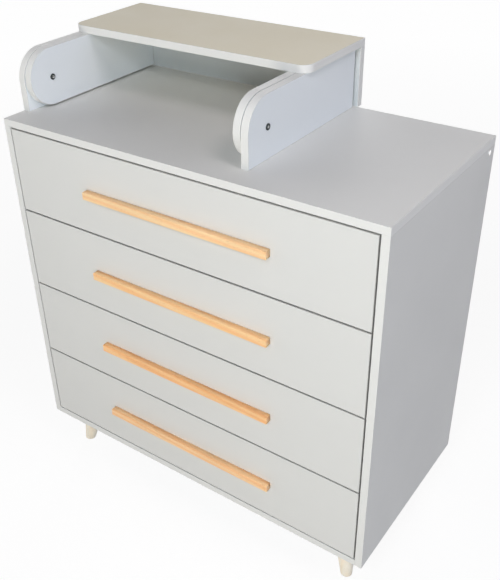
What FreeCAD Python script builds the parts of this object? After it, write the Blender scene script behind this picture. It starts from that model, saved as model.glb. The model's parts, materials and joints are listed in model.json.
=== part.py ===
"""Changing dresser: a chest of four drawers with a flip-over changing top.

Units are millimetres. +Z is up, the drawer fronts face -Y, and +X is to the right of someone
who stands in front. The origin is on the floor, under the middle of the overall box.

The carcass is made of 16 mm melamine board. The top board covers the two sides, and the sides
and the bottom board frame four equal drawer fronts. Each drawer hangs on a pair of steel roller
runners. The changing top has two fixed cheeks on the deck and a swing frame between them: two
swing cheeks, a rail across the back and a board. The frame turns over on two pivot bolts. Half a
turn forward lays its board flush with the deck, in front of it, with the cheeks and the rail as
a rim on three sides.
"""

import FreeCAD, Part
import math
import os
import Sketcher
from FreeCAD import Rotation, Vector

DRAWER_COUNT = 4
LEFT_AND_RIGHT = (("left", -1), ("right", 1))
FRONT_AND_REAR = (("front", -1), ("rear", 1))

doc = FreeCAD.newDocument("changing_dresser")
sheet = doc.addObject("Spreadsheet::Sheet", "dims")
derived = doc.addObject("Spreadsheet::Sheet", "derived")
nodes = []


# ---------------------------------------------------------------- sizes and formulas

class Size:
    """A length with its value and the formula that gives it in the document."""

    def __init__(self, value, text):
        self.value = float(value)
        self.text = text

    def __add__(self, other):
        return Size(self.value + plain(other), f"({self.text} + {words(other)})")

    def __radd__(self, other):
        return Size(plain(other) + self.value, f"({words(other)} + {self.text})")

    def __sub__(self, other):
        return Size(self.value - plain(other), f"({self.text} - {words(other)})")

    def __rsub__(self, other):
        return Size(plain(other) - self.value, f"({words(other)} - {self.text})")

    def __mul__(self, other):
        return Size(self.value * plain(other), f"({self.text} * {words(other)})")

    __rmul__ = __mul__

    def __truediv__(self, other):
        return Size(self.value / plain(other), f"({self.text} / {words(other)})")

    def __neg__(self):
        return Size(-self.value, f"(0 - {self.text})")


def plain(size):
    """The number that a size or a plain number stands for."""
    return size.value if isinstance(size, Size) else float(size)


def words(size):
    """The formula of a size, or a plain number written out."""
    return size.text if isinstance(size, Size) else repr(float(size))


def root_of_squares(first, second):
    """The distance to a point from its two offsets."""
    text = f"sqrt({words(first)} * {words(first)} + {words(second)} * {words(second)})"
    return Size(math.hypot(plain(first), plain(second)), text)


def driving(alias, value, note):
    """Write one driving dimension into the sheet and return it."""
    row = driving.rows = driving.rows + 1
    sheet.set(f"A{row}", note)
    sheet.set(f"B{row}", str(value))
    sheet.setAlias(f"B{row}", alias)
    return Size(value, f"dims.{alias}")


driving.rows = 0


def place_of(alias, size):
    """Name a place that follows from the driving dimensions."""
    row = place_of.rows = place_of.rows + 1
    derived.set(f"A{row}", f"={words(size)}")
    derived.setAlias(f"A{row}", alias)
    return Size(size.value, f"derived.{alias}")


place_of.rows = 0

# carcass
carcass_width = driving("carcass_width", 900, "outside width of the chest")
carcass_depth = driving("carcass_depth", 450, "depth of the deck and the sides")
carcass_height = driving("carcass_height", 803, "from the bottom board's underside to the deck")
board_thick = driving("board_thick", 16, "melamine board")
front_gap = driving("front_gap", 3, "gap round each drawer front")
back_thick = driving("back_thick", 3, "hardboard back")
back_inset = driving("back_inset", 14, "rear edge of the sides to the back's rear face")
groove_depth = driving("groove_depth", 6, "groove for a hardboard sheet")
groove_play = driving("groove_play", 0.2, "clearance on each side of a sheet in its groove")
rear_rail_height = driving("rear_rail_height", 60, "rail under the deck, in front of the back")

# legs
leg_height = driving("leg_height", 105, "floor to the bottom board")
leg_top_radius = driving("leg_top_radius", 25, "turned leg at its widest")
leg_foot_radius = driving("leg_foot_radius", 13, "turned leg at the floor")
leg_foot_round = driving("leg_foot_round", 2, "eased edge of the foot")
foot_inset_side = driving("foot_inset_side", 57, "side of the chest to the middle of a foot")
foot_inset_front = driving("foot_inset_front", 51, "front or rear of the chest to a foot's middle")
leg_splay = driving("leg_splay", 0.15, "sideways and forward lean for each unit of height")
plate_width = driving("plate_width", 64, "square leg plate")
plate_thick = driving("plate_thick", 2.5, "steel of a leg plate")
plate_hole_inset = driving("plate_hole_inset", 6.5, "edge of the leg plate to a screw hole")
plate_hole_radius = driving("plate_hole_radius", 2.3, "screw hole in a leg plate")

# drawers
box_side_thick = driving("box_side_thick", 12, "sides and back of a drawer box")
box_top_drop = driving("box_top_drop", 45.8, "upper edge of a front to the drawer sides")
box_back_drop = driving("box_back_drop", 14, "back of the box below the top of its sides")
box_rear_gap = driving("box_rear_gap", 11, "drawer box to the rail under the deck")
box_raise = driving("box_raise", 12, "lower edge of a front to the underside of its runners")
sheet_thick = driving("sheet_thick", 3, "hardboard bottom of a drawer")
sheet_rise = driving("sheet_rise", 10, "lower edge of a drawer side to its bottom sheet")
handle_length = driving("handle_length", 448, "wooden bar handle")
handle_height = driving("handle_height", 16.5, "height of the bar's face")
handle_depth = driving("handle_depth", 15, "how far the bar stands out")
handle_round = driving("handle_round", 1.2, "eased edges of the bar")
handle_drop = driving("handle_drop", 2.5, "bar below the middle of its front")

# roller runners
runner_space = driving("runner_space", 12.5, "carcass side to drawer side")
runner_steel = driving("runner_steel", 1.2, "sheet that the runners are rolled from")
runner_rear_gap = driving("runner_rear_gap", 15, "carcass member to the back board")
runner_setback = driving("runner_setback", 2, "drawer front to the carcass member")
channel_reach = driving("channel_reach", 10.4, "flanges of the channel from the carcass side")
roller_radius = driving("roller_radius", 8.8, "nylon roller")
roller_width = driving("roller_width", 7.5, "nylon roller")
roller_play = driving("roller_play", 0.3, "gap between a roller and what it rolls on")
roller_inset = driving("roller_inset", 13, "end of a member to its roller's axle")
axle_radius = driving("axle_radius", 2.5, "riveted axle of a roller")
axle_play = driving("axle_play", 0.08, "radial clearance of a roller or cheek on its axle")
running_gap = driving("running_gap", 0.3, "side gap of a pivot against the swing cheeks")
ear_length = driving("ear_length", 26, "raised ear that carries the front roller")
stop_height = driving("stop_height", 5, "lug that stops the rear roller")
drawer_hold = driving("drawer_hold", 110, "part of a drawer side that stays in when it is open")

# changing top
topper_inset = driving("topper_inset", 3, "side of the chest to the left fixed cheek")
topper_span = driving("topper_span", 588, "outside width over the two fixed cheeks")
board_overhang = driving("board_overhang", 9, "swing board past a fixed cheek at each end")
pivot_setback = driving("pivot_setback", 118.5, "front of the chest to the pivot")
pivot_height = driving("pivot_height", 63.4, "deck to the pivot")
cheek_rear_inset = driving("cheek_rear_inset", 8.5, "rear of the chest to a fixed cheek")
landing_gap = driving("landing_gap", 0.4, "flipped cheeks above the deck")
seat_gap = driving("seat_gap", 0.3, "swing board above the fixed cheeks")
swing_clearance = driving("swing_clearance", 0.8, "rail past the fixed cheeks as it swings")
nose_clearance = driving("nose_clearance", 1, "flipped board in front of the deck's edge")
deck_clearance = driving("deck_clearance", 3.4, "swing cheeks above the deck at rest")
rail_clearance = driving("rail_clearance", 0.4, "swing rail above the deck at rest")
cheek_gap = driving("cheek_gap", 2, "fixed cheek to swing cheek")
board_corner = driving("board_corner", 25, "front corners of the swing board")
sleeve_radius = driving("sleeve_radius", 4.5, "pivot sleeve")
bolt_radius = driving("bolt_radius", 3, "pivot bolt inside its sleeve")
pivot_head_radius = driving("pivot_head_radius", 6.5, "flat heads of bolt and sleeve")
pivot_head_thick = driving("pivot_head_thick", 1.6, "heads of bolt and sleeve")
socket_radius = driving("socket_radius", 2.9, "hexagon socket, to its corners")
socket_depth = driving("socket_depth", 2.4, "hexagon socket")
washer_radius = driving("washer_radius", 9, "nylon washer between the cheeks")

# one-piece connector screws and their caps
screw_radius = driving("screw_radius", 3.5, "connector screw's thread")
screw_length = driving("screw_length", 50, "connector screw")
screw_head_radius = driving("screw_head_radius", 5, "countersunk head")
screw_head_height = driving("screw_head_height", 3, "countersunk head")
screw_play = driving("screw_play", 0.1, "hole round a screw")
cap_radius = driving("cap_radius", 5.5, "cap over a connector screw")
cap_thick = driving("cap_thick", 1.2, "cap over a connector screw")
cap_drop = driving("cap_drop", 11, "underside of the deck board to the rail's screw")
cheek_screw_inset = driving("cheek_screw_inset", 60, "end of a fixed cheek to its screw")

# places that follow
board_reach = place_of("board_reach", board_overhang - topper_inset)
carcass_left = place_of("carcass_left", (board_reach - carcass_width - cap_thick) / 2)
carcass_right = place_of("carcass_right", carcass_left + carcass_width)
cheek_run = place_of("cheek_run", carcass_depth - cheek_rear_inset - pivot_setback)
swing_top = place_of("swing_top", pivot_height - landing_gap)
cheek_rise = place_of("cheek_rise", swing_top - seat_gap)
rail_reach = place_of("rail_reach", root_of_squares(cheek_run, cheek_rise) + swing_clearance)
topper_rear = place_of("topper_rear", pivot_setback + rail_reach + board_thick)
front_plane = place_of("front_plane", (handle_depth - topper_rear) / 2)
rear_plane = place_of("rear_plane", front_plane + carcass_depth)
pivot_y = place_of("pivot_y", front_plane + pivot_setback)
deck_under = place_of("deck_under", leg_height + carcass_height - board_thick)
deck = place_of("deck", deck_under + board_thick)
pivot_z = place_of("pivot_z", deck + pivot_height)
inner_left = place_of("inner_left", carcass_left + board_thick)
inner_right = place_of("inner_right", carcass_right - board_thick)
inner_width = place_of("inner_width", carcass_width - 2 * board_thick)
side_height = place_of("side_height", carcass_height - board_thick)
back_front = place_of("back_front", rear_plane - back_inset - back_thick)
front_height = place_of("front_height",
                        (side_height - board_thick - (DRAWER_COUNT + 1) * front_gap) / DRAWER_COUNT)
front_width = place_of("front_width", inner_width - 2 * front_gap)
front_rear = place_of("front_rear", front_plane + board_thick)
rear_rail_front = place_of("rear_rail_front", back_front - board_thick)
box_depth = place_of("box_depth", rear_rail_front - box_rear_gap - front_rear)
box_side_height = place_of("box_side_height",
                           front_height - box_raise - runner_steel - box_top_drop)
drawer_travel = place_of("drawer_travel", box_depth - drawer_hold)
box_left = place_of("box_left", inner_left + runner_space)
box_width = place_of("box_width", inner_width - 2 * runner_space)
channel_height = place_of("channel_height", 2 * (roller_radius + roller_play + runner_steel))
rear_roller_rise = place_of("rear_roller_rise", channel_height / 2)
front_roller_rise = place_of("front_roller_rise", channel_height + roller_play + roller_radius)
member_height = place_of("member_height",
                         front_roller_rise + roller_radius + roller_play + runner_steel)
runner_front = place_of("runner_front", front_rear + runner_setback)
runner_length = place_of("runner_length", back_front - runner_rear_gap - runner_front)
rear_roller_y = place_of("rear_roller_y", front_rear + box_depth - roller_inset)
cheek_top = place_of("cheek_top", pivot_z + cheek_rise)
board_under = place_of("board_under", pivot_z + swing_top)
swing_bottom = place_of("swing_bottom", deck + deck_clearance)
rail_front = place_of("rail_front", pivot_y + rail_reach)
rail_bottom = place_of("rail_bottom", deck + rail_clearance)
board_left = place_of("board_left", carcass_left - board_reach)
board_length = place_of("board_length", topper_span + 2 * board_overhang)
board_front = place_of("board_front", pivot_y + pivot_setback + nose_clearance)


# ---------------------------------------------------------------- building blocks

def bind(item, prop, size):
    """Tie a property of an object to a size."""
    item.setExpression(prop, words(size))


def put(item, x=0, y=0, z=0):
    """Tie an object's place to three sizes."""
    for axis, size in zip("xyz", (x, y, z)):
        bind(item, f"Placement.Base.{axis}", size)
    return item


def turn(item, axis, angle):
    """Turn an object about its own origin."""
    item.Placement = FreeCAD.Placement(item.Placement.Base, Rotation(axis, angle))
    return item


def node(name, item):
    """Keep an object as one sub-part of the dresser."""
    item.Label = name
    nodes.append(item)
    return item


def block(name, x, y, z, length, width, height):
    """A rectangular piece from its lowest corner and its three sizes."""
    item = doc.addObject("Part::Box", name)
    for prop, size in (("Length", length), ("Width", width), ("Height", height)):
        bind(item, prop, size)
    return put(item, x, y, z)


def rod(name, x, y, z, radius, length, axis="z"):
    """A cylinder that starts at a point and runs along +X, +Y or +Z."""
    item = doc.addObject("Part::Cylinder", name)
    bind(item, "Radius", radius)
    bind(item, "Height", length)
    if axis == "x":
        turn(item, Vector(0, 1, 0), 90)
    if axis == "y":
        turn(item, Vector(1, 0, 0), -90)
    return put(item, x, y, z)


def fused(name, pieces):
    """Several shapes joined into one solid."""
    item = doc.addObject("Part::MultiFuse", name)
    item.Shapes = pieces
    item.Refine = True
    return item


def cut(name, base, tools):
    """A shape with the tools taken out of it."""
    item = doc.addObject("Part::Cut", name)
    item.Base = base
    item.Tool = tools[0] if len(tools) == 1 else fused(f"{name}_tools", tools)
    item.Refine = True
    return item


def group(name, pieces):
    """Separate solids that share one node."""
    item = doc.addObject("Part::Compound", name)
    item.Links = pieces
    return item


def sketch_on(body, name, role):
    """A sketch on one of a body's own origin planes."""
    plane = next(item for item in body.Origin.OriginFeatures if item.Role == role)
    sketch = body.newObject("Sketcher::SketchObject", name)
    sketch.AttachmentSupport = (plane, [""])
    sketch.MapMode = "FlatFace"
    return sketch


def hold_point(sketch, geometry, end, u, v):
    """Fix one point of a sketch at two sizes from the sketch's origin."""
    for kind, size in (("DistanceX", u), ("DistanceY", v)):
        index = sketch.addConstraint(Sketcher.Constraint(kind, -1, 1, geometry, end, plain(size)))
        if isinstance(size, Size):
            sketch.setExpression(f"Constraints[{index}]", size.text)


def arc_between(start, end, centre):
    """The counter-clockwise arc from one point to another about a centre."""
    radius = math.hypot(start[0] - centre[0], start[1] - centre[1])
    angles = [math.atan2(point[1] - centre[1], point[0] - centre[0]) for point in (start, end)]
    if angles[1] < angles[0]:
        angles[1] += 2 * math.pi
    circle = Part.Circle(Vector(centre[0], centre[1], 0), Vector(0, 0, 1), radius)
    return Part.ArcOfCircle(circle, angles[0], angles[1])


def outline(sketch, points):
    """A closed outline that runs counter-clockwise through its points.

    Each point is (u, v). A point with a third value, (u, v, (centre u, centre v, radius)),
    starts an arc about that centre; any other point starts a straight line.
    """
    spots = [(plain(point[0]), plain(point[1])) for point in points]
    edges = []
    for index, point in enumerate(points):
        start = spots[index]
        end = spots[(index + 1) % len(points)]
        if len(point) == 3:
            centre = (plain(point[2][0]), plain(point[2][1]))
            shape = arc_between(start, end, centre)
        else:
            shape = Part.LineSegment(Vector(*start, 0), Vector(*end, 0))
        edges.append(sketch.addGeometry(shape, False))
    for index, point in enumerate(points):
        follower = edges[(index + 1) % len(points)]
        sketch.addConstraint(Sketcher.Constraint("Coincident", edges[index], 2, follower, 1))
    for index, point in enumerate(points):
        hold_point(sketch, edges[index], 1, point[0], point[1])
        if len(point) == 3:
            radius = point[2][2]
            held = sketch.addConstraint(Sketcher.Constraint("Radius", edges[index], plain(radius)))
            sketch.setExpression(f"Constraints[{held}]", radius.text)


def ring(sketch, u, v, radius):
    """A circle in a sketch."""
    circle = Part.Circle(Vector(plain(u), plain(v), 0), Vector(0, 0, 1), plain(radius))
    index = sketch.addGeometry(circle, False)
    hold_point(sketch, index, 3, u, v)
    held = sketch.addConstraint(Sketcher.Constraint("Radius", index, plain(radius)))
    sketch.setExpression(f"Constraints[{held}]", radius.text)


def new_body(name):
    """An empty body."""
    return doc.addObject("PartDesign::Body", name)


def pad(body, sketch, length, backwards=False):
    """Give a sketch a thickness."""
    feature = body.newObject("PartDesign::Pad", f"{sketch.Name}_pad")
    feature.Profile = sketch
    bind(feature, "Length", length)
    feature.Reversed = backwards
    sketch.Visibility = False
    return feature


def pocket(body, sketch, depth, backwards=False):
    """Cut a sketch into a body, and make sure that it takes material away."""
    doc.recompute()
    before = body.Shape.Volume
    feature = body.newObject("PartDesign::Pocket", f"{sketch.Name}_pocket")
    feature.Profile = sketch
    bind(feature, "Length", depth)
    feature.Reversed = backwards
    doc.recompute()
    assert body.Shape.Volume < before, f"{sketch.Name} cuts nothing"
    return feature


def revolve(body, sketch):
    """Turn a sketch in the XZ plane about the Z axis."""
    feature = body.newObject("PartDesign::Revolution", f"{sketch.Name}_turned")
    feature.Profile = sketch
    feature.ReferenceAxis = (sketch, ["V_Axis"])
    feature.Angle = 360
    sketch.Visibility = False
    return feature


def ease(body, base, radius, wanted):
    """Round the edges of a body's last feature that a test picks out."""
    doc.recompute()
    names = [f"Edge{number}" for number, edge in enumerate(base.Shape.Edges, 1) if wanted(edge)]
    feature = body.newObject("PartDesign::Fillet", f"{base.Name}_eased")
    feature.Base = (base, names)
    bind(feature, "Radius", radius)
    return feature


def runs_along(edge, direction):
    """Whether a straight edge is parallel to a direction."""
    if not isinstance(edge.Curve, Part.Line):
        return False
    return abs(edge.Curve.Direction.dot(direction)) > 0.999


# ---------------------------------------------------------------- connector screws

def connector_screw(name, x, y, z, way):
    """A countersunk one-piece screw whose head is flush at its point, running along a way."""
    body = new_body(name)
    sketch = sketch_on(body, f"{name}_section", "XZ_Plane")
    outline(sketch, [(0, 0), (screw_head_radius, 0), (screw_radius, screw_head_height),
                     (screw_radius, screw_length), (0, screw_length)])
    revolve(body, sketch)
    turn(body, *way)
    return put(body, x, y, z)


def screw_hole(name, x, y, z, way):
    """The drilled and countersunk hole that a connector screw sits in."""
    shank = doc.addObject("Part::Cylinder", f"{name}_shank")
    bind(shank, "Radius", screw_radius + screw_play)
    bind(shank, "Height", screw_length + screw_play)
    sink = doc.addObject("Part::Cone", f"{name}_sink")
    bind(sink, "Radius1", screw_head_radius + screw_play)
    bind(sink, "Radius2", screw_radius + screw_play)
    bind(sink, "Height", screw_head_height + screw_play)
    hole = fused(name, [shank, sink])
    turn(hole, *way)
    return put(hole, x, y, z)


RIGHTWARDS = (Vector(0, 1, 0), 90)
LEFTWARDS = (Vector(0, 1, 0), -90)
UPWARDS = (Vector(0, 0, 1), 0)

rail_screw_y = place_of("rail_screw_y", rear_rail_front + board_thick / 2)
rail_screw_z = place_of("rail_screw_z", deck_under - cap_drop)
left_cheek_x = place_of("left_cheek_x", carcass_left + topper_inset)
right_cheek_x = place_of("right_cheek_x", left_cheek_x + topper_span - board_thick)
cheek_front = place_of("cheek_front", pivot_y - cheek_rise)
cheek_back = place_of("cheek_back", pivot_y + cheek_run)
cheek_screw_rows = (cheek_front + cheek_screw_inset, cheek_back - cheek_screw_inset)

screw_places = []
for side, x, way in (("left", carcass_left, RIGHTWARDS), ("right", carcass_right, LEFTWARDS)):
    screw_places.append((f"rail_{side}", x, rail_screw_y, rail_screw_z, way))
for side, x in (("left", left_cheek_x), ("right", right_cheek_x)):
    for row, y in zip(("front", "rear"), cheek_screw_rows):
        screw_places.append((f"cheek_{side}_{row}", x + board_thick / 2, y, deck_under, UPWARDS))


def holes_for(piece, wanted):
    """Screw holes for one piece, at the places whose names start with a word."""
    picked = [place for place in screw_places if place[0].startswith(wanted)]
    return [screw_hole(f"{piece}_{name}_hole", *place) for name, *place in picked]


# ---------------------------------------------------------------- carcass

def sheet_groove(name, x, y, z, length, width, height):
    """The cut for a hardboard sheet, with its play on every side."""
    return block(name, x - groove_play, y - groove_play, z - groove_play,
                 length + 2 * groove_play, width + 2 * groove_play, height + 2 * groove_play)


def back_space(name):
    """The cut that the back board makes in what frames it."""
    return sheet_groove(name, inner_left - groove_depth, back_front,
                        leg_height + board_thick - groove_depth,
                        inner_width + 2 * groove_depth, back_thick,
                        side_height - board_thick + 2 * groove_depth)


def make_carcass():
    """The boards of the chest: deck, sides, bottom, back and rear rail."""
    top = block("top_board", carcass_left, front_plane, deck_under,
                carcass_width, carcass_depth, board_thick)
    node("top_panel", cut("top_cut", top, [back_space("top_groove")] + holes_for("top", "cheek")))

    for side, x in (("left", carcass_left), ("right", inner_right)):
        board = block(f"side_board_{side}", x, front_plane, leg_height,
                      board_thick, carcass_depth, side_height)
        tools = [back_space(f"side_groove_{side}")] + holes_for(f"side_{side}", f"rail_{side}")
        node(f"side_panel_{side}", cut(f"side_cut_{side}", board, tools))

    bottom = block("bottom_board", inner_left, front_plane, leg_height,
                   inner_width, carcass_depth, board_thick)
    node("bottom_panel", cut("bottom_cut", bottom, [back_space("bottom_groove")]))

    node("back_board", block("back_sheet", inner_left - groove_depth, back_front,
                             leg_height + board_thick - groove_depth,
                             inner_width + 2 * groove_depth, back_thick,
                             side_height - board_thick + 2 * groove_depth))

    rail = block("rail_board", inner_left, rear_rail_front,
                 deck_under - rear_rail_height, inner_width, board_thick, rear_rail_height)
    node("rear_rail", cut("rail_cut", rail, holes_for("rail", "rail")))


# ---------------------------------------------------------------- legs

def leg_foot(side, end):
    """The middle of a foot on the floor."""
    x = (carcass_left + foot_inset_side) if side < 0 else (carcass_right - foot_inset_side)
    y = (front_plane + foot_inset_front) if end < 0 else (rear_plane - foot_inset_front)
    return x, y


def leg_head(side, end):
    """The middle of a leg where it meets its plate."""
    x, y = leg_foot(side, end)
    rise = (leg_height - plate_thick) * leg_splay
    return x - side * rise, y - end * rise


def make_leg(name, side, end):
    """A turned and tapered leg that leans out to its corner, level at both ends."""
    body = new_body(f"{name}_turning")
    sketch = sketch_on(body, f"{name}_section", "XZ_Plane")
    overrun = leg_foot_radius
    swell = (leg_top_radius - leg_foot_radius) / leg_height * overrun
    outline(sketch, [(0, -overrun), (leg_foot_radius - swell, -overrun),
                     (leg_top_radius + swell, leg_height + overrun), (0, leg_height + overrun)])
    revolve(body, sketch)
    lean = Vector(plain(leg_splay) * side, plain(leg_splay) * end, -1)
    body.Placement = FreeCAD.Placement(Vector(), Rotation(Vector(0, 0, -1), lean))
    put(body, *leg_foot(side, end), 0)

    foot_x, foot_y = leg_foot(side, end)
    reach = leg_height + leg_top_radius
    level = block(f"{name}_level", foot_x - reach, foot_y - reach, 0,
                  2 * reach, 2 * reach, leg_height - plate_thick)
    trimmed = doc.addObject("Part::Common", f"{name}_trimmed")
    trimmed.Base = body
    trimmed.Tool = level
    doc.recompute()
    rim = [(number, plain(leg_foot_round), plain(leg_foot_round))
           for number, edge in enumerate(trimmed.Shape.Edges, 1)
           if edge.BoundBox.ZMax < plain(leg_foot_round)]
    eased = doc.addObject("Part::Fillet", f"{name}_eased")
    eased.Base = trimmed
    eased.Edges = rim
    return node(name, eased)


def make_leg_plate(name, side, end):
    """A square steel plate with four screw holes, on the underside of the bottom board."""
    head_x, head_y = leg_head(side, end)
    left = head_x - plate_width / 2
    front = head_y - plate_width / 2
    low = leg_height - plate_thick
    plate = block(f"{name}_steel", left, front, low, plate_width, plate_width, plate_thick)
    holes = []
    for column in (plate_hole_inset, plate_width - plate_hole_inset):
        for row in (plate_hole_inset, plate_width - plate_hole_inset):
            hole = rod(f"{name}_hole", left + column, front + row, low,
                       plate_hole_radius, plate_thick)
            holes.append(hole)
    return cut(name, plate, holes)


def make_legs():
    """Four legs and the plates that hold them."""
    plates = []
    for end_name, end in FRONT_AND_REAR:
        for side_name, side in LEFT_AND_RIGHT:
            make_leg(f"leg_{end_name}_{side_name}", side, end)
            plates.append(make_leg_plate(f"plate_{end_name}_{side_name}", side, end))
    node("leg_plates", group("leg_plate_set", plates))


# ---------------------------------------------------------------- drawers and runners

def drawer_floor(number):
    """The lower edge of a drawer front. Drawer 1 is at the top."""
    steps = DRAWER_COUNT - number
    return leg_height + board_thick + front_gap + steps * (front_height + front_gap)


def make_handle(number, middle_z):
    """A wooden bar with eased edges, flat on its drawer front."""
    body = new_body(f"handle_bar_{number}")
    sketch = sketch_on(body, f"handle_{number}_section", "YZ_Plane")
    low = middle_z - handle_height / 2
    high = middle_z + handle_height / 2
    near = front_plane - handle_depth
    outline(sketch, [(near, low), (front_plane, low), (front_plane, high), (near, high)])
    bar = pad(body, sketch, handle_length)
    back = plain(front_plane) - 0.01
    ease(body, bar, handle_round, lambda edge: edge.CenterOfMass.y < back)
    put(body, (inner_left + inner_right - handle_length) / 2, 0, 0)
    return node(f"drawer_{number}_handle", body)


def make_drawer_box(number, low):
    """Front, two sides, back and bottom sheet of one drawer."""
    side_low = low + box_raise + runner_steel
    sheet_low = side_low + sheet_rise
    inner_x = box_left + box_side_thick
    box_rear = front_rear + box_depth
    sheet_left = inner_x - groove_depth
    sheet_width = box_width - 2 * box_side_thick + 2 * groove_depth
    sheet_front = front_rear - groove_depth
    sheet_depth = box_depth + groove_depth

    def bottom_groove(piece):
        return sheet_groove(f"drawer_{number}_{piece}_groove", sheet_left, sheet_front, sheet_low,
                            sheet_width, sheet_depth + groove_depth, sheet_thick)

    front = block(f"front_board_{number}", inner_left + front_gap, front_plane, low,
                  front_width, board_thick, front_height)
    node(f"drawer_{number}_front", cut(f"front_cut_{number}", front, [bottom_groove("front")]))

    for side, x in (("left", box_left), ("right", box_left + box_width - box_side_thick)):
        board = block(f"box_side_{side}_{number}", x, front_rear, side_low,
                      box_side_thick, box_depth, box_side_height)
        node(f"drawer_{number}_side_{side}",
             cut(f"box_side_cut_{side}_{number}", board, [bottom_groove(side)]))

    back_low = sheet_low + sheet_thick
    node(f"drawer_{number}_back",
         block(f"box_back_{number}", inner_x, box_rear - box_side_thick, back_low,
               box_width - 2 * box_side_thick, box_side_thick,
               box_side_height - box_back_drop - sheet_rise - sheet_thick))

    node(f"drawer_{number}_bottom",
         block(f"box_sheet_{number}", sheet_left, sheet_front, sheet_low,
               sheet_width, sheet_depth, sheet_thick))


def section_points(side, wall, points):
    """Points of a runner's section, measured from the carcass wall towards the drawer."""
    placed = [(wall - side * across, up) for across, up in points]
    return placed if side > 0 else placed[::-1]


def wall_of(side):
    """The inner face of one carcass side."""
    return inner_left if side < 0 else inner_right


def make_carcass_member(number, side_name, side, base):
    """The channel on the carcass side, with the ear and axle of its front roller."""
    name = f"channel_{side_name}_{number}"
    wall = wall_of(side)
    body = new_body(name)
    sketch = sketch_on(body, f"{name}_section", "XZ_Plane")
    points = [(0, 0), (0, channel_height), (channel_reach, channel_height),
              (channel_reach, channel_height - runner_steel),
              (runner_steel, channel_height - runner_steel), (runner_steel, runner_steel),
              (channel_reach, runner_steel), (channel_reach, 0)]
    points = [(across, base + up) for across, up in points]
    outline(sketch, section_points(side, wall, points))
    pad(body, sketch, runner_length, backwards=True)
    put(body, 0, runner_front, 0)

    ear_left = wall if side < 0 else wall - runner_steel
    ear = block(f"{name}_ear", ear_left, runner_front, base, runner_steel, ear_length,
                member_height - runner_steel)
    roller_gap = channel_reach - runner_steel
    axle = rod(f"{name}_axle", wall if side < 0 else wall - channel_reach,
               runner_front + roller_inset, base + front_roller_rise,
               axle_radius, roller_gap + runner_steel, "x")
    stop_y = rear_roller_y - drawer_travel - roller_radius - roller_play - runner_steel
    lug_left = wall if side < 0 else wall - channel_reach
    lug = block(f"{name}_lug", lug_left, stop_y, base, channel_reach, runner_steel, stop_height)
    return fused(f"{name}_member", [body, ear, axle, lug])


def make_drawer_member(number, side_name, side, base):
    """The Z section on the drawer side, with the axle of its rear roller."""
    name = f"zed_{side_name}_{number}"
    wall = wall_of(side)
    body = new_body(name)
    sketch = sketch_on(body, f"{name}_section", "XZ_Plane")
    web = runner_space - runner_steel
    tip = 2 * runner_steel
    under = runner_space + box_side_thick
    points = [(web, 0), (web, member_height - runner_steel), (tip, member_height - runner_steel),
              (tip, member_height), (runner_space, member_height), (runner_space, runner_steel),
              (under, runner_steel), (under, 0)]
    points = [(across, base + up) for across, up in points]
    outline(sketch, section_points(side, wall, points))
    pad(body, sketch, box_depth, backwards=True)
    put(body, 0, front_rear, 0)
    axle_length = runner_space - 2 * runner_steel
    axle_left = wall + 2 * runner_steel if side < 0 else wall - runner_space
    axle = rod(f"{name}_axle", axle_left, rear_roller_y, base + rear_roller_rise,
               axle_radius, axle_length, "x")
    return fused(f"{name}_member", [body, axle])


def make_roller(name, side, y, z):
    """A nylon roller, bored for its axle."""
    body = new_body(name)
    sketch = sketch_on(body, f"{name}_section", "XZ_Plane")
    bore = axle_radius + axle_play
    outline(sketch, [(bore, 0), (roller_radius, 0),
                     (roller_radius, roller_width), (bore, roller_width)])
    revolve(body, sketch)
    wall = wall_of(side)
    clear = 2 * runner_steel
    turn(body, *(LEFTWARDS if side < 0 else RIGHTWARDS))
    x = (wall + clear + roller_width) if side < 0 else (wall - clear - roller_width)
    return put(body, x, y, z)


def make_drawers():
    """Four drawers, their handles and the moving halves of their runners."""
    members = {"left": [], "right": []}
    for number in range(1, DRAWER_COUNT + 1):
        low = place_of(f"drawer_{number}_low", drawer_floor(number))
        base = place_of(f"runner_{number}_base", low + box_raise)
        make_drawer_box(number, low)
        make_handle(number, low + front_height / 2 - handle_drop)
        moving = []
        front_rollers = []
        rear_rollers = []
        for side_name, side in LEFT_AND_RIGHT:
            members[side_name].append(make_carcass_member(number, side_name, side, base))
            moving.append(make_drawer_member(number, side_name, side, base))
            front_rollers.append(make_roller(f"front_roller_{side_name}_{number}", side,
                                             runner_front + roller_inset,
                                             base + front_roller_rise))
            rear_rollers.append(make_roller(f"rear_roller_{side_name}_{number}", side,
                                            rear_roller_y, base + rear_roller_rise))
        node(f"drawer_{number}_runners", group(f"drawer_runner_pair_{number}", moving))
        node(f"front_rollers_{number}", group(f"front_roller_pair_{number}", front_rollers))
        node(f"rear_rollers_{number}", group(f"rear_roller_pair_{number}", rear_rollers))
    for side_name, _ in LEFT_AND_RIGHT:
        node(f"carcass_runners_{side_name}",
             group(f"carcass_runner_set_{side_name}", members[side_name]))


# ---------------------------------------------------------------- changing top

def make_fixed_cheek(side_name, x):
    """A cheek that stands on the deck: square foot, round nose about the pivot."""
    body = new_body(f"fixed_cheek_{side_name}")
    sketch = sketch_on(body, f"fixed_cheek_{side_name}_outline", "YZ_Plane")
    outline(sketch, [(cheek_front, deck), (cheek_back, deck), (cheek_back, cheek_top),
                     (pivot_y, cheek_top, (pivot_y, pivot_z, cheek_rise)), (cheek_front, pivot_z)])
    ring(sketch, pivot_y, pivot_z, sleeve_radius + axle_play)
    pad(body, sketch, board_thick)
    put(body, x, 0, 0)
    holes = holes_for(f"fixed_cheek_{side_name}", f"cheek_{side_name}")
    node(f"topper_cheek_{side_name}", cut(f"fixed_cheek_cut_{side_name}", body, holes))


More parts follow.
